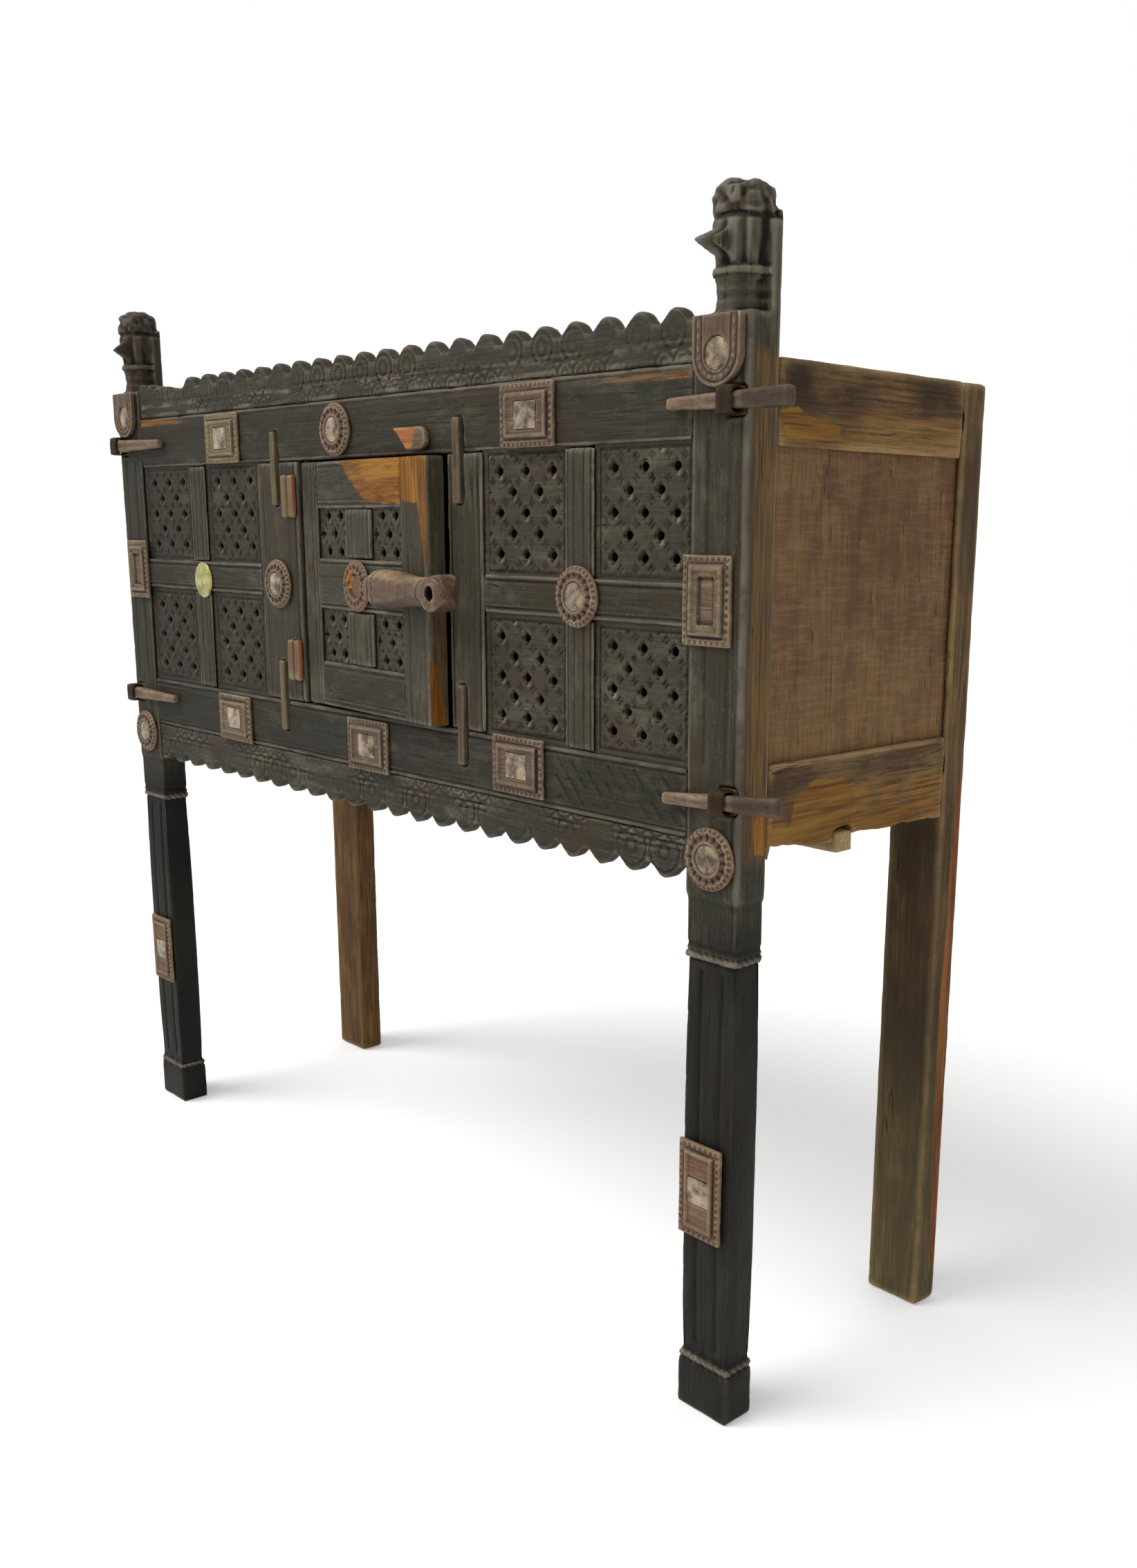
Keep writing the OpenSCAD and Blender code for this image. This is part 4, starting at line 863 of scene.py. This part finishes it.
# The carved front
front = {"rail": 2.4, "grille": 1.9, "post": 2.5, "door": 2.0, "key": 1.6}   # voxel sizes
crest = {"first": 515.25, "tip": 1087, "way": 1, "rail": 1036, "radius": 19, "keep": 16, "arc": 23,
         "drop": 15, "lift": 0}
apron = {"first": 511.25, "tip": 548, "way": -1, "rail": 602, "radius": 28, "keep": 16, "arc": 28,
         "drop": 14, "lift": 8}
agedCopy("front_top_rail", carvedAcross, front["rail"], carve=railCarving(*chest["topRail"]), tone=0.2,
         fresh=splitCore, bare=splitBare, glint=splitDust, soot=smoke(0.12), seed=11)
agedCopy("front_bottom_rail", carvedAcross, front["rail"], carve=railCarving(*chest["bottomRail"], 330),
         tone=0.15, soot=smoke(0.26), glint=edgeDust(667, 605), seed=14)
agedCopy("crest_board", carvedAcross, front["rail"], shape=scallopEdge(crest), wear=1.3, tone=0.3,
         carve=scallopCarving(crest), glint=edgeDust(1039, 1051), soot=smoke(), seed=17)
agedCopy("apron_board", carvedAcross, front["rail"], shape=scallopEdge(apron), tone=0.1,
         carve=scallopCarving(apron), seed=21)
agedCopy("left_jamb", carvedUp, front["rail"], tone=0.2, seed=24, carve=uprightCarving(
    (-216, 3.5, 1.4), (-210, 3, 1.0), (-150, 3, 0.6), (-136, 3.5, 1.4)))
agedCopy("right_jamb", carvedUp, front["rail"], tone=0.4, seed=27, carve=uprightCarving(
    (184, 3.5, 1.4), (221, 3, 0.9), (231, 3.5, 1.4)))
for node, seed in (("left_mid_rail", 31), ("right_mid_rail", 34)):
    agedCopy(node, carvedAcross, front["rail"], tone=0.15, seed=seed, soot=smoke(),
             carve=railCarving(*chest["midRail"]), glint=edgeDust(*chest["midRail"]))
for node, bay, seed in (("left_muntins", chest["leftBay"], 37), ("right_muntins", chest["rightBay"], 41)):
    middle = sum(bay) / 2
    agedCopy(node, carvedUp, front["door"], tone=0.45, seed=seed, soot=smoke(-0.08), carve=uprightCarving(
        (middle - 17, 3.5, 1.3), (middle - 7, 3, 1.0), (middle + 7, 3, 1.0), (middle + 17, 3.5, 1.3)))
for node, bay, seed in (("left_grilles", chest["leftBay"], 44), ("right_grilles", chest["rightBay"], 47)):
    middle, half = sum(bay) / 2, chest["muntin"] / 2
    grid = fieldGrid(chest, bay, (middle - half, middle + half))
    agedCopy(node, carvedAcross, front["grille"], tone=0.4, wear=0.9, worn=0.45, seed=seed,
             carve=grilleCarving(*grid), soot=grilleSootAndCutShade, glint=grilleGlint(*grid))
for node, side, seed in (("front_left_post", -1, 51), ("front_right_post", 1, 54)):
    agedCopy(node, carvedUp, front["post"], shape=bluntLobe if side < 0 else None, wear=0.8, seed=seed,
             carve=postCarving(side), bare=postSide, fresh=postFresh, soot=legSootAndFinialShade, glint=finialGlint,
             tone=postTone)
agedCopy("joint_keys", fittingUp, front["key"], wear=0.8, tone=0.2, seed=57, bare=keyBare, soot=0.34)
agedCopy("lintel_block", fittingAcross, front["key"], wear=0.8, tone=0.3, seed=57,
         fresh=patches([(84, 999), (128, 999), (132, 985), (114, 970), (84, 970)]))
print("front done")

# The door, in the place it has when closed
door = {"inner": (-79, 119), "muntin": (-11, 51), "pitch": (15, 21),
        "bottomRail": (672, 728), "midRail": (791, 853), "topRail": (910, 966)}
for node, rail, look in (
        ("door_top_rail", "topRail", {"fresh": doorSlant, "tone": 0.2, "seed": 61}),
        ("door_mid_rail", "midRail", {"tone": 0.35, "seed": 64}),
        ("door_bottom_rail", "bottomRail",
         {"soot": smoke(0.2), "glint": doorDust, "tone": 0.2, "seed": 67})):
    agedCopy(node, carvedAcross, front["door"], carve=railCarving(*door[rail]), **look)
agedCopy("door_hinge_stile", carvedUp, front["door"], seed=71, tone=0.2, carve=uprightCarving(
    (-92, 3, 1.1), (-84, 3, 1.1)))
agedCopy("door_lock_stile", carvedUp, front["door"], seed=74, tone=0.35, fresh=lockFresh, bare=lockBare,
         carve=uprightCarving((124, 3, 1.2), (134, 3, 1.0), (166, 3, 0.9)))
agedCopy("door_muntins", carvedUp, front["door"], seed=77, tone=0.45, carve=uprightCarving(
    (-4, 3, 1.3), (6, 3, 1.0), (34, 3, 1.0), (44, 3, 1.3)))
doorGrid = fieldGrid(door, door["inner"], door["muntin"])
agedCopy("door_grilles", carvedAcross, front["grille"], wear=0.9, worn=0.45, seed=81, tone=0.5,
         carve=grilleCarving(*doorGrid), soot=grilleSootAndCutShade, glint=grilleGlint(*doorGrid))
agedCopy("bolt", boltWood, bolt["size"], shape=boltEnd, carve=boltCarving, soot=paintedBoltShade,
         glint=boltGlint, wear=0.9, tone=0.4, seed=84)
print("door done")

# The ends and the legs behind
ends = {"size": 3.2, "leg": 3.6, "batten": 2.6}
for side in ("left", "right"):
    agedCopy(side + "_end_panel", panelUp, ends["size"], carve=sawMarks, tone=panelShade, seed=91,
             bare=panelFoot)
    agedCopy(side + "_end_top_rail", bareBack, ends["size"], tone=0.2, seed=94, soot=railStain,
             bare=railTan, glint=lambda at: 0.3 * railTan(at),
             fresh=patches([(42, 992), (58, 997), (128, 986), (128, 970), (58, 964)], axes="yz"))
    agedCopy(side + "_end_bottom_rail", bareBack, ends["size"], shape=raggedRail, tone=0.45, seed=97,
             soot=tenonSoot, bare=rottenFoot, glint=dustLine,
             fresh=patches(
                 [(46, 588), (48, 622), (66, 618), (74, 594), (60, 586)],
                 [(70, 600), (80, 640), (110, 655), (160, 652), (180, 625), (170, 598), (110, 590)],
                 [(180, 590), (190, 614), (280, 612), (295, 592), (240, 586)], axes="yz"))
legEdge = patches([(356, 40), (346, 240), (348, 420), (352, 640), (390, 640), (390, 40)], axes="yz")


def legFresh(at):
    # the outer side of the right leg has split away in long slivers
    sliver = legEdge(at) + 1 - 9 * valueNoise(at.points * [1, 1, 0.3], 24, 99)
    return np.where((at.nx > 0.5) & (at.z < 620), sliver, -99)


agedCopy("back_right_leg", mossyUp, ends["leg"], tone=mossTone, seed=101, soot=legMoss, fresh=legFresh)
agedCopy("back_left_leg", bareUp, ends["leg"], tone=0.1, bare=0.45, soot=0.24, seed=104)
agedCopy("floor_batten", paleAcross, ends["batten"], tone=0.0, seed=107)
print("ends done")


# Fittings, modelled from primitives

def applied(name):
    bpy.ops.object.transform_apply(location=True, rotation=True, scale=True)
    bpy.context.object.name = name
    return bpy.context.object


def addBlock(name, low, high):
    clearSelection()
    bpy.ops.mesh.primitive_cube_add(size=1, location=[(a + b) / 2 for a, b in zip(low, high)],
                                    scale=[b - a for a, b in zip(low, high)])
    return applied(name)


def addDisc(name, x, y, z, radius, thick, sides=64):
    # a disc whose flat back is at y and whose face looks to the front
    clearSelection()
    bpy.ops.mesh.primitive_cylinder_add(vertices=sides, radius=radius, depth=thick,
                                        location=(x, y - thick / 2, z), rotation=(math.pi / 2, 0, 0))
    return applied(name)


def pickFaces(piece, test):
    takeUp(piece)
    bpy.ops.object.mode_set(mode="EDIT")
    bpy.ops.mesh.select_mode(type="FACE")
    bpy.ops.mesh.select_all(action="DESELECT")
    mesh = bmesh.from_edit_mesh(piece.data)
    for face in mesh.faces:
        face.select_set(test(face.calc_center_median(), face.normal))
    bmesh.update_edit_mesh(piece.data)


def stepFace(piece, steps):
    # each step insets the front face, then moves it forward (positive) or back
    foremost = min(v.co.y for v in piece.data.vertices)
    pickFaces(piece, lambda centre, normal: normal.y < -0.9 and centre.y < foremost + 0.01)
    for inset, forward in steps:
        if inset:
            bpy.ops.mesh.inset(thickness=inset)
        if forward:
            bpy.ops.mesh.extrude_region_move(TRANSFORM_OT_translate={"value": (0, -forward, 0)})
    bpy.ops.object.mode_set(mode="OBJECT")


def joinPieces(pieces, name):
    clearSelection()
    for piece in pieces:
        piece.select_set(True)
    bpy.context.view_layer.objects.active = pieces[0]
    bpy.ops.object.join()
    bpy.context.object.name = name
    return bpy.context.object


plaques = {"edge": 4.4, "opening": (34, 28), "lip": 4, "recess": 3.4, "bevel": 0.7,
           "size": 1.4, "shieldSize": 1.5,
           "steps": ((1.5, 1.2), (5.5, -1.6), (2.5, 4.0), (4.5, -1.4), (1.5, 0))}
plaqueSites = {"square": [(-302.6, 1001), (316, 1001), (-305, 634), (13.4, 632), (296.5, 642)],
               "post": [(-567, 827), (567, 827)], "leg": [(-572, 248), (572, 248)]}


def addPlaque(x, z, width, height, mirrored):
    # a low outer border, a groove, a raised inner frame and the recess for the mirror
    plaque = addBlock("plaque", (x - width / 2, -plaques["edge"], z - height / 2),
                      (x + width / 2, 0, z + height / 2))
    stepFace(plaque, plaques["steps"])
    taken = 2 * sum(inset for inset, forward in plaques["steps"])
    inner = (width - taken, height - taken)
    wide, high = plaques["opening"] if mirrored else (side - 2 * plaques["lip"] for side in inner)
    pickFaces(plaque, lambda centre, normal:
              normal.y < -0.9 and max(abs(centre.x - x), abs(centre.z - z)) < 1)
    bpy.ops.mesh.inset(thickness=0.1)
    bpy.ops.transform.resize(value=(wide / inner[0], 1, high / inner[1]), center_override=(x, 0, z))
    bpy.ops.mesh.extrude_region_move(TRANSFORM_OT_translate={"value": (0, plaques["recess"], 0)})
    bpy.ops.object.mode_set(mode="OBJECT")
    easeEdges(plaque, plaques["bevel"])
    return plaque


def plaqueCarving(sites, width, height):
    # small notches round the outer border
    def carve(at):
        depth = np.zeros(len(at.x))
        for sx, sz in sites:
            u, v = at.x - sx, at.z - sz
            near = (np.abs(u) < width / 2 + 1) & (np.abs(v) < height / 2 + 1)
            rim = np.minimum(width / 2 - np.abs(u), height / 2 - np.abs(v))
            along = np.where(width / 2 - np.abs(u) < height / 2 - np.abs(v), v, u)
            depth += near * (rim > 1.8) * (rim < 6) * 0.9 * wave(along, 7)
        return depth * onFace(at, 0)
    return carve


for name, node, kind, width, height, mirrored, tone, bare, seed in (
        ("nested_square_plaques", "square_plaques", "square", 84, 64, True, 0.1, plaqueBare, 121),
        ("tall_post_plaques", "post_plaques", "post", 60, 83, False, 0.2, 0.15, 124),
        ("tall_leg_plaques", "leg_plaques", "leg", 56, 102, True, 0.75, 0.0, 127)):
    sites = plaqueSites[kind]
    piece = joinPieces([addPlaque(x, z, width, height, mirrored) for x, z in sites], name)
    agePiece(piece, node, fittingAcross, plaques["size"], carve=plaqueCarving(sites, width, height),
             wear=0.75, tone=tone, bare=bare, seed=seed)
agedCopy("shield_plaques", fittingUp, plaques["shieldSize"], carve=shieldCarving, wear=0.8, tone=0.15,
         seed=131)

bosses = {"radius": 31, "rim": 4.6, "bevel": 0.5, "size": 1.3, "door": (20, 822),
          "sites": [(-576, 588), (576, 588), (-178, 818), (390.5, 824), (-34.2, 1001)],
          "steps": ((1.6, 1.6), (3.0, 1.2), (2.2, -1.0), (5.2, 1.0), (1.4, 1.2), (2.7, 0), (0.7, -4.0))}


def addBoss(x, z):
    # a turned disc: rim, groove, petal ring, raised lip and the seat of the mirror
    boss = addDisc("boss", x, 0, z, bosses["radius"], bosses["rim"])
    stepFace(boss, bosses["steps"])
    easeEdges(boss, bosses["bevel"])
    return boss


def bossCarving(sites):
    # petals between the lip and the groove, and notches round the rim
    def carve(at):
        depth = np.zeros(len(at.x))
        for sx, sz in sites:
            u, v = at.x - sx, at.z - sz
            reach, turn = np.hypot(u, v), np.arctan2(v, u)
            petal = (reach > 18.5) * (reach < 25) * 0.8 * np.clip(np.cos(16 * turn) * 1.4, 0, 1)
            notch = (reach > 26.5) * (reach < 33) * 0.9 * (0.5 + 0.5 * np.cos(30 * turn))
            depth += petal + notch + 0.5 * line(reach, 21.5, 2.4)
        return depth * onFace(at, 0)
    return carve


agePiece(joinPieces([addBoss(x, z) for x, z in bosses["sites"]], "turned_round_bosses"), "round_bosses",
         fittingAcross, bosses["size"], carve=bossCarving(bosses["sites"]), wear=0.7, tone=0.35, seed=134)
doorBoss = addBoss(*bosses["door"])
doorBoss.name = "turned_door_boss"
agePiece(doorBoss, "door_boss", fittingAcross, bosses["size"], carve=bossCarving([bosses["door"]]),
         wear=1.5, tone=1.0, seed=137, fresh=patches([(4, 840), (16, 846), (14, 826), (6, 820)]))

# Corner keys: split billets whose long edges are worn round
keys = {"length": 145, "height": 19, "tip": 12, "taper": 0.8, "thick": 14, "bevel": 3.312, "hub": 594,
        "head": (600, 614), "size": 1.5, "sites": (   # the thick end, the height, the side and the tilt
            (664, 1000, 1, 0), (664, 645, 1, 4), (612, 1000, -1, 0), (612, 645, -1, 0))}
keyPieces = []
for head, z, side, tilt in keys["sites"]:
    left, right = sorted((side * head, side * (head - keys["length"])))
    half = keys["height"] / 2
    key = addBlock("key", (left, -keys["thick"], z - half), (right, 0, z + half))
    pickFaces(key, lambda centre, normal: side * normal.x < -0.9)
    bpy.ops.transform.resize(value=(1, keys["taper"], keys["tip"] / keys["height"]),
                             center_override=(0, -keys["thick"] / 2, z))
    bpy.ops.object.mode_set(mode="OBJECT")
    easeEdges(key, keys["bevel"], 4)
    if tilt:
        hub = Matrix.Translation((keys["hub"], 0, z))
        key.data.transform(hub @ Matrix.Rotation(math.radians(-tilt), 4, "Y") @ hub.inverted())
    keyPieces.append(key)
agePiece(joinPieces(keyPieces, "worn_corner_keys"), "corner_keys", fittingAcross, keys["size"],
         "fitting_wood", tone=0.2, glint=0.12, seed=141,
         # painted shade on the keys' heads past the posts' corners, where they turn into the shaded sides
         soot=lambda at: 0.62 * ramp(np.abs(at.x), *keys["head"]))

# Lugs beside the hinge edge: two ribs with a groove between them
lugs = {"x": (-155.5, -127.5), "gap": 3.2, "heights": (926, 724), "half": 26, "thick": 8, "web": 4,
        "within": 2, "bevel": 2.6, "size": 1.4}
lugPieces = []
low, high = lugs["x"]
middle = (low + high) / 2
for z in lugs["heights"]:
    for left, right in ((low, middle - lugs["gap"] / 2), (middle + lugs["gap"] / 2, high)):
        rib = addBlock("rib", (left, -lugs["thick"], z - lugs["half"]), (right, 0, z + lugs["half"]))
        easeEdges(rib, lugs["bevel"], 3)
        lugPieces.append(rib)
    rise = lugs["half"] - lugs["within"]
    lugPieces.append(addBlock("web", (low + lugs["within"], -lugs["web"], z - rise),
                              (high - lugs["within"], 0, z + rise)))
lugEdges = [shape for z in lugs["heights"] for shape in (
    [(-158, z + 28), (-153, z + 28), (-154, z - 28), (-158, z - 28)],
    [(-131, z + 28), (-125, z + 28), (-125, z - 28), (-129, z - 28)])][1:]
agePiece(joinPieces(lugPieces, "ribbed_hinge_lugs"), "hinge_lugs", fittingUp, lugs["size"], wear=0.9,
         tone=0.9, seed=144, fresh=patches(*lugEdges),
         bare=lambda at: 0.8 * ramp(at.z, 712, 704) + 0.35 * (at.z > 900))

# Mirrors: hand-cut panes with eased edges and a slight swell
mirrors = {"square": (33, 27), "radius": 13.9, "thick": 2, "deep": 6, "bevel": 0.5,
           "squareSwell": ((2.5, 0.25), (4, 0.2)), "roundSwell": ((2, 0.3), (3, 0.3)),
           "shieldSites": [(side * chest["postMid"], chest["shieldMid"]) for side in (-1, 1)]}
lostBoss = {"x": -376.5, "z": 817, "radius": 24, "thick": 1.4,
            "swell": ((2.5, 0.9), (4, 0.8), (5, 0.5), (6, 0.3))}
panes = []
for x, z in plaqueSites["square"] + plaqueSites["leg"]:
    half, rise = (length / 2 for length in mirrors["square"])
    panes.append(addBlock("pane", (x - half, -mirrors["deep"], z - rise),
                          (x + half, mirrors["thick"] - mirrors["deep"], z + rise)))
    stepFace(panes[-1], mirrors["squareSwell"])
for sites, back in ((bosses["sites"], -5), (mirrors["shieldSites"], -4)):
    for x, z in sites:
        panes.append(addDisc("pane", x, back, z, mirrors["radius"], mirrors["thick"], 32))
        stepFace(panes[-1], mirrors["roundSwell"])
for pane in panes:
    easeEdges(pane, mirrors["bevel"])
bareGlass = addDisc("lost_boss_mirror", lostBoss["x"], 0, lostBoss["z"], lostBoss["radius"],
                    lostBoss["thick"])
stepFace(bareGlass, lostBoss["swell"])
applyModifier(bareGlass, "SUBSURF", levels=2, render_levels=2)
for piece, finish in ((joinPieces(panes, "set_mirrors"), oldMirror), (bareGlass, bareMirror)):
    takeUp(piece)
    bpy.ops.object.shade_smooth_by_angle(angle=math.radians(40))
    settle(piece, "mirrors", finish)
print("fittings done")

# The boards, the back and what carries them
boards = {"size": 4.6, "joints": {   # the axis across the boards, and where their joints lie
    "top_boards": ("y", (135, 236)), "floor_boards": ("y", (135, 236)), "back_boards": ("z", (767, 871))}}


def boardCarving(axis, joints):
    return lambda at: sum(1.8 * line(getattr(at, axis), joint, 9) for joint in joints)


for node, (axis, joints) in boards["joints"].items():
    agedCopy(node, boardAcross, boards["size"], carve=boardCarving(axis, joints), wear=1.1, tone=0.1,
             seed=151)
for node, material, seed in (("back_top_rail", boardAcross, 154), ("back_bottom_rail", boardAcross, 157),
                             ("upper_bearers", bareBack, 161), ("lower_bearers", bareBack, 164)):
    agedCopy(node, material, boards["size"], tone=0.2, seed=seed)
nails = frame["nodes"]["top_nails"].data
nails.materials.clear()
nails.materials.append(nailIron)
print("boards done")

# Camera, floor and light
view = {"from": (1.4263, -1.1101, 0.8905), "yaw": 45.38, "pitch": 12.61, "roll": 0.51,
        "lens": 32.467, "shift": (-0.0469, 0.0390), "clip": 0.01}
yaw, pitch, roll = (math.radians(view[key]) for key in ("yaw", "pitch", "roll"))
ahead = Vector((-math.sin(yaw) * math.cos(pitch), math.cos(yaw) * math.cos(pitch), -math.sin(pitch)))
level = Vector((math.cos(yaw), math.sin(yaw), 0))
upright = level.cross(ahead)
right = math.cos(roll) * level + math.sin(roll) * upright
up = -math.sin(roll) * level + math.cos(roll) * upright
camera = bpy.data.objects.new("camera", bpy.data.cameras.new("camera"))
bpy.context.scene.collection.objects.link(camera)
camera.matrix_world = Matrix.Translation(view["from"]) @ Matrix((right, up, -ahead)).transposed().to_4x4()
camera.data.lens = view["lens"]
camera.data.shift_x, camera.data.shift_y = view["shift"]
camera.data.clip_start = view["clip"]
bpy.context.scene.camera = camera

room = {"width": 24, "floor": "#f0f0f0", "white": "#ffffff", "plain": (1.1, 3.0), "lift": 0.2,
        "world": 0.64, "sun": 2.1, "spread": 38, "sunWay": (0.6, 1.0, -1.4)}


def straightRays(tree):
    # 1 where the camera, a shine or glass sees the surface itself
    seen = addNode(tree, "LightPath", out="Is Camera Ray")
    for ray in ("Is Glossy Ray", "Is Transmission Ray"):
        other = addNode(tree, "LightPath", out=ray)
        seen = addNode(tree, "Math", {0: seen, 1: other}, operation="MAXIMUM")
    return seen


# the floor fades to plain white away from the chest, and is a little lifted to white under it
clearSelection()
bpy.ops.mesh.primitive_plane_add(size=room["width"], location=(0, 0, 0))
floor = bpy.context.object
floor.name = "floor"
floorFinish, tree, place = blankFinish("pale floor")
seen = straightRays(tree)
away = addNode(tree, "VectorMath", {0: place}, "Value", operation="LENGTH")
fade = addNode(tree, "MapRange", between(away, *room["plain"]), interpolation_type="SMOOTHSTEP")
share, lift = (addNode(tree, "Math", {0: seen, 1: other}, operation="MULTIPLY")
               for other in (fade, room["lift"]))
matt = addNode(tree, "BsdfDiffuse", {"Color": paint(room["floor"])})
white = paint(room["white"])
plain, glow = (addNode(tree, "Emission", {"Color": white, "Strength": power}) for power in (1.0, lift))
near = addNode(tree, "AddShader", {0: matt, 1: glow})
addNode(tree, "OutputMaterial", {"Surface": addNode(tree, "MixShader", {0: share, 1: near, 2: plain})})
floor.data.materials.append(floorFinish)
floor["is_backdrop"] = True

world = bpy.context.scene.world or bpy.data.worlds.new("room")
bpy.context.scene.world = world
world.use_nodes = True
tree = world.node_tree
tree.nodes.clear()
power = addNode(tree, "MapRange", between(straightRays(tree), 0.0, 1.0, room["world"], 1.0))
background = addNode(tree, "Background", {"Color": white, "Strength": power})
addNode(tree, "OutputWorld", {"Surface": background})

sun = bpy.data.objects.new("window light", bpy.data.lights.new("window light", "SUN"))
sun.data.energy = room["sun"]
sun.data.angle = math.radians(room["spread"])
sun.rotation_euler = Vector(room["sunWay"]).to_track_quat("-Z", "Y").to_euler()
bpy.context.scene.collection.objects.link(sun)
bpy.context.scene.view_settings.view_transform = "Standard"
print("camera and light ready")

clearSelection()
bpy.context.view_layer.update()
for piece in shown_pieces():
    piece.data.calc_loop_triangles()
